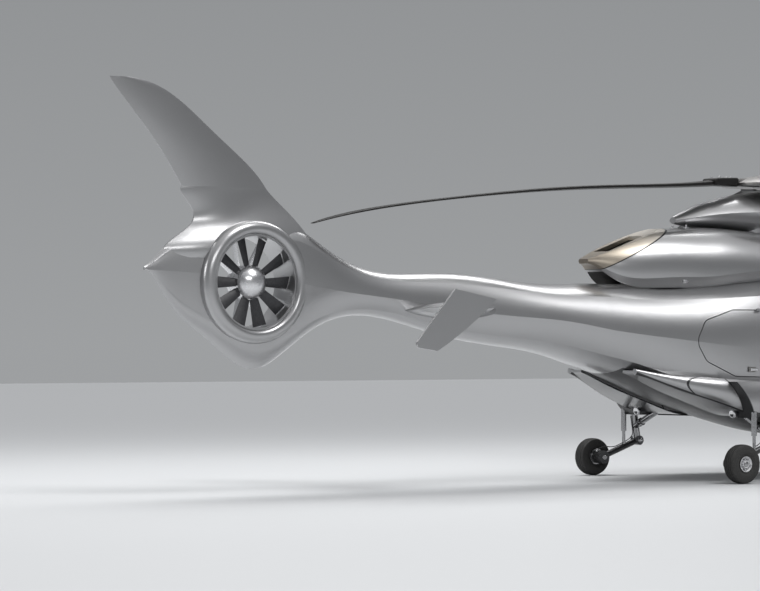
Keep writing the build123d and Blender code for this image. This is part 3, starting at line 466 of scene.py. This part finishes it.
makeFloor(stageSettings)
makeLights(stageSettings)
print("floor and lamps set")
finishes = {name: makeFinish(name, values) for name, values in finishTable.items()}
finishes["body_silver"] = makePaint(paintSettings)
finishes["heat_metal"] = makeHeatMetal(heatSettings)
finishes["window_glass"] = makeGlass(glassSettings)
# a duller black for the blades
bladeShine = 0.22
bladeShader = finishes["blade_black"].node_tree.nodes["Principled BSDF"]
bladeShader.inputs["Specular IOR Level"].default_value = bladeShine
slotOf = {row["node"]: row["material_slot"] for row in frame["record"]["subparts"]}
twoTone = {
    "aft_fuselage": makeTwoTone("bellyEdgePaint", paintSettings, bellyMask),
    "sponson_left": makeTwoTone("sponsonPaint", paintSettings, sponsonMask),
}
twoTone["sponson_right"] = twoTone["sponson_left"]
for name, node in nodes.items():
    node.data.materials.clear()
    node.data.materials.append(twoTone.get(name) or finishes[slotOf[name]])
print("finishes set")


# handling of pieces
def activate(piece):
    bpy.ops.object.select_all(action="DESELECT")
    piece.select_set(True)
    bpy.context.view_layer.objects.active = piece


def setPlace(piece):
    activate(piece)
    bpy.ops.object.transform_apply(location=True, rotation=True, scale=True)


def finishPiece(piece, name, body, slotName, angle=35.0):
    piece.name = name
    setPlace(piece)
    piece.data.materials.clear()
    piece.data.materials.append(finishes[slotName])
    bpy.ops.object.shade_smooth_by_angle(angle=math.radians(angle))
    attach(piece, body)
    return piece


def applyModifier(piece, kind, **values):
    activate(piece)
    modifier = piece.modifiers.new(kind.lower(), kind)
    for key, value in values.items():
        setattr(modifier, key, value)
    bpy.ops.object.modifier_apply(modifier=modifier.name)


def joinPieces(pieces):
    bpy.ops.object.select_all(action="DESELECT")
    for piece in pieces:
        piece.select_set(True)
    bpy.context.view_layer.objects.active = pieces[0]
    bpy.ops.object.join()
    return bpy.context.object


# tyres: a ribbed section spun round the wheel's axle
tyreTable = {
    # node: name, rim radius, rows of grooves
    "main_tyre_left": ("mainTyreLeft", 0.072, (-0.54, -0.18, 0.18, 0.54)),
    "main_tyre_right": ("mainTyreRight", 0.072, (-0.54, -0.18, 0.18, 0.54)),
    "nose_tyre": ("noseTyre", 0.058, (-0.36, 0.36)),
}
tyreSettings = {
    "grooveDepth": 0.0055,
    "grooveHalf": 0.0035,
    "crownDrop": 0.010,
    "ribStep": 0.0025,
    "grooveSlope": 0.0008,
    # the bead: its outward step, and its sides as shares of the half width
    "beadRise": 0.012,
    "beadSides": (0.70, 0.80),
    # the sidewall: share of its height, share of the half width
    "wall": ((0.26, 0.96), (0.46, 1.0), (0.66, 0.97)),
    # the shoulder's sides as shares of the half width, and its step
    "shoulderSides": (0.92, 0.885, 0.86),
    "shoulderDrop": 0.008,
    # kept clear of the CAD tyre's box and of the rim
    "clear": 0.0005,
    "weld": 0.00005,
    "steps": 96,
}


def tyreSection(radius, half, rim, grooves, settings):
    inner, outer = settings["beadSides"]
    points = [(rim, -half * inner), (rim + settings["beadRise"], -half * outer)]
    wall = radius - rim
    points += [(rim + wall * share, -half * side) for share, side in settings["wall"]]
    edge = radius - settings["crownDrop"] - settings["ribStep"]
    low, middle, high = settings["shoulderSides"]
    points.append((edge - settings["shoulderDrop"], -half * low))
    points.append((edge, -half * middle))
    points.append((edge + settings["ribStep"], -half * high))
    sideCount = len(points)
    slope = settings["grooveSlope"]
    for place in grooves:
        crown = radius - settings["crownDrop"] * place * place
        floor = crown - settings["grooveDepth"]
        low = place * half - settings["grooveHalf"]
        high = place * half + settings["grooveHalf"]
        points += [(crown, low), (floor, low + slope), (floor, high - slope), (crown, high)]
    points += [(reach, -side) for reach, side in reversed(points[:sideCount])]
    return points


# a closed section in the plane of the axle (Y), spun about it
def spinSection(points, centre, settings):
    bpy.ops.object.select_all(action="DESELECT")
    bpy.ops.mesh.primitive_circle_add(vertices=len(points), radius=1.0, location=centre)
    piece = bpy.context.object
    for vertex, (radius, side) in zip(piece.data.vertices, points):
        vertex.co = (radius, side, 0.0)
    setPlace(piece)
    bpy.ops.object.mode_set(mode="EDIT")
    bpy.ops.mesh.select_all(action="SELECT")
    bpy.ops.mesh.spin(steps=settings["steps"], angle=math.tau, center=centre, axis=(0, 1, 0))
    bpy.ops.mesh.select_all(action="SELECT")
    bpy.ops.mesh.remove_doubles(threshold=settings["weld"])
    bpy.ops.mesh.normals_make_consistent(inside=False)
    bpy.ops.object.mode_set(mode="OBJECT")
    return piece


def makeTyre(node, name, rim, grooves, settings):
    low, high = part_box(node)
    centre = (low + high) / 2
    radius = (high.z - low.z) / 2 - settings["clear"]
    half = (high.y - low.y) / 2
    section = tyreSection(radius, half, rim + settings["clear"], grooves, settings)
    piece = spinSection(section, centre, settings)
    finishPiece(piece, name, nodes[node]["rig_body"], "tyre", 30)
    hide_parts(node)


for node, (name, rim, grooves) in tyreTable.items():
    makeTyre(node, name, rim, grooves, tyreSettings)
print("tyres made")


# hexagon bolts with washers, joined into one piece for each place
boltShares = {
    # shares of the head's radius
    "washerRadius": 1.25,
    "washerDepth": 0.3,
    "headRise": 0.55,
    "headDepth": 0.9,
    "bevel": 0.12,
}


def makeBolts(name, spots, axis, size, body, slotName="bright_alloy"):
    made = []
    turn = Vector(axis).to_track_quat("Z", "Y").to_euler()
    washer = size * boltShares["washerRadius"]
    washerDepth = size * boltShares["washerDepth"]
    headDepth = size * boltShares["headDepth"]
    for spot in spots:
        bpy.ops.object.select_all(action="DESELECT")
        bpy.ops.mesh.primitive_cylinder_add(
            vertices=20, radius=washer, depth=washerDepth, location=spot, rotation=turn
        )
        made.append(bpy.context.object)
        head = Vector(spot) + Vector(axis) * size * boltShares["headRise"]
        bpy.ops.mesh.primitive_cylinder_add(
            vertices=6, radius=size, depth=headDepth, location=head, rotation=turn
        )
        made.append(bpy.context.object)
    piece = joinPieces(made)
    setPlace(piece)
    bevel = size * boltShares["bevel"]
    applyModifier(piece, "BEVEL", width=bevel, segments=2, limit_method="ANGLE")
    return finishPiece(piece, name, body, slotName, 30)


def ringSpots(centre, radius, count, axis):
    centre = Vector(centre)
    across = Vector((1, 0, 0)) if abs(axis[1]) > 0.5 else Vector((0, 1, 0))
    up = Vector(axis).cross(across)
    spots = []
    for index in range(count):
        angle = math.tau * index / count
        reach = across * radius * math.cos(angle) + up * radius * math.sin(angle)
        spots.append(centre + reach)
    return spots


wheelSettings = {
    "boltRing": 0.050,
    "boltCount": 8,
    "boltSize": 0.0055,
    "boltInset": 0.016,
    "capRadius": 0.026,
    "capDepth": 0.020,
    "capInset": 0.002,
    "capBevel": 0.006,
}


def makeHubCap(name, centre, axis, settings, body):
    turn = Vector(axis).to_track_quat("Z", "Y").to_euler()
    bpy.ops.object.select_all(action="DESELECT")
    radius, depth = settings["capRadius"], settings["capDepth"]
    bpy.ops.mesh.primitive_cylinder_add(
        vertices=40, radius=radius, depth=depth, location=centre, rotation=turn
    )
    piece = bpy.context.object
    setPlace(piece)
    bevel = settings["capBevel"]
    applyModifier(piece, "BEVEL", width=bevel, segments=4, limit_method="ANGLE")
    return finishPiece(piece, name, body, "gear_chrome", 40)


def dressWheel(side, way, settings):
    node = "main_wheel_" + side
    low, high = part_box(node)
    middle = (low + high) / 2
    face = high.y if way > 0 else low.y
    axis = (0, way, 0)
    centre = (middle.x, face - way * settings["boltInset"], middle.z)
    spots = ringSpots(centre, settings["boltRing"], settings["boltCount"], axis)
    makeBolts("wheelBolts_" + side, spots, axis, settings["boltSize"], node)
    capPlace = (middle.x, face - way * settings["capInset"], middle.z)
    makeHubCap("axleCap_" + side, capPlace, axis, settings, node)


sides = (("left", 1), ("right", -1))
for side, way in sides:
    dressWheel(side, way, wheelSettings)
print("wheel details made")


# rotor head: a bolted cuff on each blade's root
rotorLow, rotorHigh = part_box("rotor_mast")
mastX = (rotorLow.x + rotorHigh.x) / 2
rotorZ = 2.83
cuffSettings = {
    "turns": (math.radians(180.9164), math.radians(300.9164), math.radians(60.9164)),
    "inner": 0.46,
    "outer": 0.80,
    "innerWide": 0.115,
    "outerWide": 0.215,
    "deep": 0.088,
    "outerDeep": 0.070,
    "droop": 0.006,
    "endBand": 0.01,
    "bevel": 0.022,
    "boltSize": 0.011,
    "boltRise": 0.040,
    # bolts: reach along the blade, and side
    "bolts": ((0.55, 0.030), (0.55, -0.030), (0.72, 0.055), (0.72, -0.055)),
}


def onBlade(reach, side, turn):
    x = mastX + reach * math.cos(turn) - side * math.sin(turn)
    return x, reach * math.sin(turn) + side * math.cos(turn)


def makeCuff(index, turn, settings):
    length = settings["outer"] - settings["inner"]
    place = (settings["inner"] + length / 2, 0, rotorZ)
    bpy.ops.object.select_all(action="DESELECT")
    bpy.ops.mesh.primitive_cube_add(size=1.0, location=place)
    piece = bpy.context.object
    piece.scale = (length, settings["innerWide"], settings["deep"])
    setPlace(piece)
    widen = settings["outerWide"] / settings["innerWide"]
    thin = settings["outerDeep"] / settings["deep"]
    for vertex in piece.data.vertices:
        if vertex.co.x > settings["outer"] - settings["endBand"]:
            vertex.co.y *= widen
            vertex.co.z = rotorZ + (vertex.co.z - rotorZ) * thin - settings["droop"]
    bevel = settings["bevel"]
    applyModifier(piece, "BEVEL", width=bevel, segments=4, limit_method="ANGLE")
    for vertex in piece.data.vertices:
        vertex.co.x, vertex.co.y = onBlade(vertex.co.x, vertex.co.y, turn)
    finishPiece(piece, f"bladeCuff_{index}", "main_rotor", "blade_black", 40)
    top = rotorZ + settings["boltRise"]
    spots = [(*onBlade(reach, side, turn), top) for reach, side in settings["bolts"]]
    makeBolts(f"cuffBolts_{index}", spots, (0, 0, 1), settings["boltSize"], "main_rotor")


for index, turn in enumerate(cuffSettings["turns"]):
    makeCuff(index + 1, turn, cuffSettings)
print("rotor head dressed")


# padded seats: each CAD cushion is swelled by cloth pressure, then sewn across
padSettings = {
    "voxel": 0.011,
    "benchVoxel": 0.015,
    "shrink": 0.965,
    "pressure": 4.0,
    "frames": 20,
    "cap": 0.016,
    "channelDepth": 0.009,
    "channelWidth": 0.008,
    "topSlack": 0.004,
    "weld": 0.0001,
}
padTable = {
    # node: name, fill, sewn channels as shares of the pad's width
    "seat_cushions": ("seatCushion", 0.75, (0.22, 0.78)),
    "seat_backs": ("seatBack", 0.7, (0.22, 0.78)),
    "bench_cushion": ("benchCushion", 0.75, (0.18, 0.335, 0.5, 0.665, 0.82)),
    "bench_back": ("benchBack", 0.7, (0.18, 0.335, 0.5, 0.665, 0.82)),
}


def loosePads(node, name, settings):
    copy = bpy.data.objects.new(name, nodes[node].data.copy())
    bpy.context.scene.collection.objects.link(copy)
    activate(copy)
    bpy.ops.object.mode_set(mode="EDIT")
    bpy.ops.mesh.select_all(action="SELECT")
    bpy.ops.mesh.remove_doubles(threshold=settings["weld"])
    bpy.ops.mesh.separate(type="LOOSE")
    bpy.ops.object.mode_set(mode="OBJECT")
    pads = bpy.context.selected_objects
    return sorted(pads, key=lambda piece: piece.data.vertices[0].co.y)


def meshBox(piece):
    points = [vertex.co for vertex in piece.data.vertices]
    low = Vector([min(point[axis] for point in points) for axis in range(3)])
    high = Vector([max(point[axis] for point in points) for axis in range(3)])
    return low, high


def swell(piece, settings):
    before = [vertex.co.copy() for vertex in piece.data.vertices]
    cloth = piece.modifiers.new("padCloth", "CLOTH")
    cloth.settings.use_pressure = True
    cloth.settings.uniform_pressure_force = settings["pressure"]
    cloth.settings.effector_weights.gravity = 0.0
    stage = bpy.context.scene
    for number in range(1, settings["frames"] + 1):
        stage.frame_set(number)
    seen = piece.evaluated_get(bpy.context.evaluated_depsgraph_get())
    after = [vertex.co.copy() for vertex in seen.data.vertices]
    piece.modifiers.remove(cloth)
    stage.frame_set(1)
    for vertex, old, new in zip(piece.data.vertices, before, after):
        move = new - old
        if move.length > settings["cap"]:
            move *= settings["cap"] / move.length
        vertex.co = old + move


# sewn channels pressed in across the pad, and the pad kept within its CAD box
def sewPad(piece, low, high, isBack, channels, settings):
    middle = (low + high) / 2
    wide = high.y - low.y
    top = high + Vector((1, 1, 1)) * settings["topSlack"]
    for vertex in piece.data.vertices:
        share = (vertex.co.y - low.y) / wide
        dip = 0.0
        for channel in channels:
            away = (share - channel) * wide / settings["channelWidth"]
            dip += settings["channelDepth"] * math.exp(-away * away)
        if isBack:
            vertex.co.x += math.copysign(dip, middle.x - vertex.co.x)
        elif vertex.co.z > middle.z:
            vertex.co.z -= dip
        for axis in range(3):
            vertex.co[axis] = min(max(vertex.co[axis], low[axis]), top[axis])


def makePads(node, name, channels, settings):
    voxel = settings["benchVoxel"] if "bench" in node else settings["voxel"]
    for index, piece in enumerate(loosePads(node, name, settings)):
        low, high = meshBox(piece)
        middle = (low + high) / 2
        for vertex in piece.data.vertices:
            vertex.co = middle + (vertex.co - middle) * settings["shrink"]
        applyModifier(piece, "REMESH", mode="VOXEL", voxel_size=voxel)
        swell(piece, settings)
        sewPad(piece, low, high, "back" in node, channels, settings)
        applyModifier(piece, "SUBSURF", levels=1, render_levels=1)
        finishPiece(piece, f"{name}_{index + 1}", "airframe", "seat_leather", 60)
        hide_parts(node)


for node, (name, fill, channels) in padTable.items():
    makePads(node, name, channels, padSettings)
print("seats padded")


# a bevelled block, with its place in its mesh
def makeBlock(name, middle, size, body, slotName, bevel, turn=(0.0, 0.0, 0.0), segments=3):
    bpy.ops.object.select_all(action="DESELECT")
    bpy.ops.mesh.primitive_cube_add(size=1.0, location=middle, rotation=turn)
    piece = bpy.context.object
    piece.scale = size
    setPlace(piece)
    applyModifier(piece, "BEVEL", width=bevel, segments=segments, limit_method="ANGLE")
    return finishPiece(piece, name, body, slotName, 35)


# a round pipe through a few points
def makePipe(name, points, radius, body, slotName):
    bpy.ops.object.select_all(action="DESELECT")
    bpy.ops.curve.primitive_nurbs_path_add()
    pipe = bpy.context.object
    spline = pipe.data.splines[0]
    # the new path has five points, and every pipe here has more
    spline.points.add(len(points) - len(spline.points))
    for point, place in zip(spline.points, points):
        point.co = (*place, 1.0)
    spline.order_u = 3
    spline.use_endpoint_u = True
    pipe.data.bevel_depth = radius
    pipe.data.bevel_resolution = 3
    pipe.data.use_fill_caps = True
    bpy.ops.object.convert(target="MESH")
    piece = bpy.context.object
    return finishPiece(piece, name, body, slotName, 50)


# where a line from a point meets a node's mesh
def surfaceOf(node, start, way):
    tree = BVHTree.FromPolygons(
        [vertex.co for vertex in nodes[node].data.vertices],
        [tuple(face.vertices) for face in nodes[node].data.polygons],
    )
    spot, normal, index, distance = tree.ray_cast(Vector(start), Vector(way).normalized())
    return spot, normal


# instrument panel: framed screens and rows of keys, all plain
screenSettings = {
    "aftX": 3.81,
    "middleZ": 1.0,
    # side, width, height
    "screens": ((-0.28, 0.24, 0.17), (0.0, 0.22, 0.17), (0.28, 0.24, 0.17)),
    "frame": 0.012,
    "frameDeep": 0.014,
    "frameOut": 0.006,
    "frameBevel": 0.004,
    "glassDeep": 0.004,
    "glassOut": 0.0145,
    "glassBevel": 0.0015,
    "keyZ": 0.885,
    "keyCount": 12,
    "keyStep": 0.056,
    "keyOut": 0.004,
    "keySize": (0.012, 0.030, 0.020),
    "keyBevel": 0.003,
}


def makeScreens(settings):
    x, z = settings["aftX"], settings["middleZ"]
    for index, (side, wide, high) in enumerate(settings["screens"]):
        place = (x - settings["frameOut"], side, z)
        size = (settings["frameDeep"], wide, high)
        bevel = settings["frameBevel"]
        makeBlock(f"screenFrame_{index + 1}", place, size, "airframe", "cast_metal", bevel)
        place = (x - settings["glassOut"], side, z)
        edge = settings["frame"] * 2
        size = (settings["glassDeep"], wide - edge, high - edge)
        bevel = settings["glassBevel"]
        makeBlock(f"screenGlass_{index + 1}", place, size, "airframe", "window_glass", bevel)
    keys = []
    start = -settings["keyStep"] * (settings["keyCount"] - 1) / 2
    size, bevel = settings["keySize"], settings["keyBevel"]
    for index in range(settings["keyCount"]):
        side = start + settings["keyStep"] * index
        place = (x - settings["keyOut"], side, settings["keyZ"])
        keys.append(makeBlock("key", place, size, "airframe", "cast_metal", bevel))
    piece = joinPieces(keys)
    piece.name = "panelKeys"


makeScreens(screenSettings)
print("panel dressed")


# door handles and bay latches, each on a plate on the skin
handleTable = {
    # name: node, x, z, side, length, height
    "frontHandle_left": ("front_door_left", 2.45, 1.09, 1, 0.15, 0.030),
    "frontHandle_right": ("front_door_right", 2.45, 1.09, -1, 0.15, 0.030),
    "rearHandle_left": ("rear_door_left", 2.17, 1.10, 1, 0.12, 0.028),
    "rearHandle_right": ("rear_door_right", 2.17, 1.10, -1, 0.12, 0.028),
    "bayLatch_left": ("luggage_door_left", 1.16, 1.04, 1, 0.09, 0.024),
    "bayLatch_right": ("luggage_door_right", 1.16, 1.04, -1, 0.09, 0.024),
}


handleSettings = {
    "out": 0.006,
    "plateIn": 0.005,
    "plateThick": 0.006,
    "plateLonger": 0.03,
    "plateHigher": 0.026,
    "plateBevel": 0.0028,
    "gripThick": 0.012,
    "gripBevel": 0.005,
    # the side ray starts this far out
    "farSide": 2.0,
}


def makeHandle(name, node, x, z, side, length, height, settings):
    spot, normal = surfaceOf(node, (x, side * settings["farSide"], z), (0, -side, 0))
    body = nodes[node]["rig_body"]
    turn = (math.atan2(normal.z, abs(normal.y)) * side, 0, 0)
    out = spot + normal * settings["out"]
    plate = out - normal * settings["plateIn"]
    longer = length + settings["plateLonger"]
    size = (longer, settings["plateThick"], height + settings["plateHigher"])
    makeBlock(name + "_plate", plate, size, body, "hub_alloy", settings["plateBevel"], turn)
    grip = out + normal * settings["out"]
    size = (length, settings["gripThick"], height)
    makeBlock(name, grip, size, body, "bright_alloy", settings["gripBevel"], turn, 4)


for name, (node, x, z, side, length, height) in handleTable.items():
    makeHandle(name, node, x, z, side, length, height, handleSettings)
print("handles made")


# rubber strip round each door pane, from the pane's own edge faces
gasketSettings = {
    "thick": 0.014,
    # faces that look this much sideways are the pane's own, not its edge
    "sideways": 0.5,
    "weld": 0.0001,
}


def makeGasket(node, name, settings):
    piece = bpy.data.objects.new(name, nodes[node].data.copy())
    bpy.context.scene.collection.objects.link(piece)
    activate(piece)
    bpy.ops.object.mode_set(mode="EDIT")
    bpy.ops.mesh.select_mode(type="FACE")
    bpy.ops.mesh.select_all(action="SELECT")
    bpy.ops.mesh.remove_doubles(threshold=settings["weld"])
    bpy.ops.mesh.select_all(action="DESELECT")
    bpy.ops.object.mode_set(mode="OBJECT")
    for face in piece.data.polygons:
        face.select = face.area > 0.0 and abs(face.normal.y) > settings["sideways"]
    bpy.ops.object.mode_set(mode="EDIT")
    bpy.ops.mesh.delete(type="FACE")
    bpy.ops.object.mode_set(mode="OBJECT")
    thick = settings["thick"]
    applyModifier(piece, "SOLIDIFY", thickness=thick, offset=-1.0, use_even_offset=True)
    finishPiece(piece, name, nodes[node]["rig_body"], "tyre", 40)


for place in ("front_door", "rear_door"):
    for side, way in sides:
        makeGasket(f"{place}_window_{side}", f"{place}_gasket_{side}", gasketSettings)
print("gaskets made")


# gear: pins, brakes and rigid brake pipes
gearSettings = {
    "wheelX": 0.76,
    "wheelZ": 0.1805,
    "elbowX": 1.21,
    "elbowZ": 0.335,
    "armSide": 0.93,
    "bossSide": 0.976,
    "pinSize": 0.020,
    # the caliper's place from the wheel's middle, and its side
    "caliperAt": (-0.030, 0.062),
    "caliperSide": 0.955,
    "caliper": (0.040, 0.026, 0.034),
    "caliperBevel": 0.006,
    "caliperTurn": 0.45,
    "caliperBolts": (-0.014, 0.014),
    "caliperBoltSide": 0.934,
    "caliperBoltSize": 0.0055,
    "pipeRadius": 0.0042,
    # the pipe's points: x and z from the caliper, the wheel or the elbow, and side
    "pipeFromCaliper": ((0.01, 0.945, 0.02), (0.05, 0.925, 0.045)),
    "pipeFromWheel": ((0.14, 0.925, 0.090), (0.26, 0.925, 0.132)),
    "pipeFromElbow": (
        (-0.09, 0.925, 0.020),
        (-0.055, 0.925, 0.070),
        (-0.070, 0.925, 0.160),
        (-0.085, 0.925, 0.235),
    ),
}


def makeGearDetails(side, way, settings):
    wheel = (settings["wheelX"], settings["wheelZ"])
    elbow = (settings["elbowX"], settings["elbowZ"])
    out = way * settings["bossSide"]
    inner = way * settings["armSide"] * 2 - out
    size = settings["pinSize"]
    elbowOut, elbowIn = (elbow[0], out, elbow[1]), (elbow[0], inner, elbow[1])
    makeBolts(f"elbowPin_{side}", [elbowOut], (0, way, 0), size, "airframe")
    makeBolts(f"elbowNut_{side}", [elbowIn], (0, -way, 0), size, "airframe")
    axleIn = (wheel[0], inner, wheel[1])
    makeBolts(f"axleNut_{side}", [axleIn], (0, -way, 0), size, "airframe")
    brake = (wheel[0] + settings["caliperAt"][0], wheel[1] + settings["caliperAt"][1])
    tilt = settings["caliperTurn"]
    place = (brake[0], way * settings["caliperSide"], brake[1])
    bevel, turn = settings["caliperBevel"], (0, tilt, 0)
    caliper = settings["caliper"]
    makeBlock(f"brakeCaliper_{side}", place, caliper, "airframe", "bright_alloy", bevel, turn, 4)
    boltSide = way * settings["caliperBoltSide"]
    spots = [
        (brake[0] + shift, boltSide, brake[1] + shift * tilt)
        for shift in settings["caliperBolts"]
    ]
    size = settings["caliperBoltSize"]
    makeBolts(f"caliperBolts_{side}", spots, (0, -way, 0), size, "airframe")
    route = []
    starts = ((brake, "pipeFromCaliper"), (wheel, "pipeFromWheel"), (elbow, "pipeFromElbow"))
    for start, key in starts:
        route += [(start[0] + x, way * y, start[1] + z) for x, y, z in settings[key]]
    makePipe(f"brakePipe_{side}", route, settings["pipeRadius"], "airframe", "trim_dark")


# a straight rod with rounded ends
rodBevelShare = 0.25


def makeRod(name, start, end, radius, body, slotName):
    start, end = Vector(start), Vector(end)
    turn = (end - start).to_track_quat("Z", "Y").to_euler()
    length, middle = (end - start).length, (start + end) / 2
    bpy.ops.object.select_all(action="DESELECT")
    bpy.ops.mesh.primitive_cylinder_add(
        vertices=32, radius=radius, depth=length, location=middle, rotation=turn
    )
    piece = bpy.context.object
    setPlace(piece)
    bevel = radius * rodBevelShare
    applyModifier(piece, "BEVEL", width=bevel, segments=3, limit_method="ANGLE")
    return finishPiece(piece, name, body, slotName, 40)


# on each pod's inner side: a pale panel and the black actuator with its bright collar
wellSettings = {
    "panel": (1.365, 0.695, 0.672),
    "panelSize": (0.235, 0.014, 0.125),
    "panelTurn": 0.20,
    "panelBevel": 0.005,
    "rodStart": (0.985, 0.685, 0.625),
    "rodEnd": (1.245, 0.685, 0.672),
    "collarEnd": (1.010, 0.685, 0.630),
    "rodRadius": 0.034,
    "collarRadius": 0.042,
}


def makeWellDetails(side, way, settings):
    def mirrored(point):
        return (point[0], way * point[1], point[2])

    place, turn = mirrored(settings["panel"]), (0, settings["panelTurn"], 0)
    size, bevel = settings["panelSize"], settings["panelBevel"]
    makeBlock(f"wellPanel_{side}", place, size, "airframe", "hub_alloy", bevel, turn)
    start, end = mirrored(settings["rodStart"]), mirrored(settings["rodEnd"])
    makeRod(f"wellActuator_{side}", start, end, settings["rodRadius"], "airframe", "trim_dark")
    end, radius = mirrored(settings["collarEnd"]), settings["collarRadius"]
    makeRod(f"wellCollar_{side}", start, end, radius, "airframe", "bright_alloy")


for side, way in sides:
    makeGearDetails(side, way, gearSettings)
    makeWellDetails(side, way, wellSettings)
print("gear dressed")


# small fittings on the cowl: bright posts under the fairing's tip, and side latches
fittingSettings = {
    "posts": ((0.864, 0.0), (0.940, -0.10), (0.940, 0.10)),
    "postWide": 0.016,
    "postRise": 0.034,
    "postSink": 0.004,
    "postBevel": 0.005,
    "footSize": (0.050, 0.030, 0.008),
    "footRise": 0.006,
    "footBevel": 0.003,
    # a ray from above starts here, and a spot higher than the limit is the fairing
    "rayTop": 3.2,
    "highest": 2.42,
    "latch": (0.666, 1.862),
    "latchFar": 2.0,
    "latchOut": 0.004,
    "latchSize": (0.060, 0.020, 0.030),
    "latchBevel": 0.005,
    "pinOut": 0.010,
    "pinSize": 0.006,
}


def makeLatch(side, way, settings):
    x, z = settings["latch"]
    spot, normal = surfaceOf("engine_cowl", (x, way * settings["latchFar"], z), (0, -way, 0))
    turn = (math.atan2(normal.z, abs(normal.y)) * way, 0, 0)
    place = spot + normal * settings["latchOut"]
    size, bevel = settings["latchSize"], settings["latchBevel"]
    makeBlock(f"cowlLatch_{side}", place, size, "airframe", "bright_alloy", bevel, turn)
    pin = place + normal * settings["pinOut"]
    makeBolts(f"cowlLatchPin_{side}", [pin], tuple(normal), settings["pinSize"], "airframe")


def makePost(number, x, y, settings):
    spot, normal = surfaceOf("engine_cowl", (x, y, settings["rayTop"]), (0, 0, -1))
    if spot is None or spot.z > settings["highest"]:
        return
    foot = spot.z - settings["postSink"]
    rise, wide = settings["postRise"], settings["postWide"]
    place, size, bevel = (x, y, foot + rise / 2), (wide, wide, rise), settings["postBevel"]
    makeBlock(f"cowlPost_{number}", place, size, "airframe", "bright_alloy", bevel)
    place, size = (x, y, foot + settings["footRise"]), settings["footSize"]
    bevel = settings["footBevel"]
    makeBlock(f"cowlPostFoot_{number}", place, size, "airframe", "bright_alloy", bevel)


def makeFittings(settings):
    for side, way in sides:
        makeLatch(side, way, settings)
    for index, (x, y) in enumerate(settings["posts"]):
        makePost(index + 1, x, y, settings)


makeFittings(fittingSettings)
print("fittings made")

scene = bpy.context.scene
scene.view_settings.view_transform = "Standard"
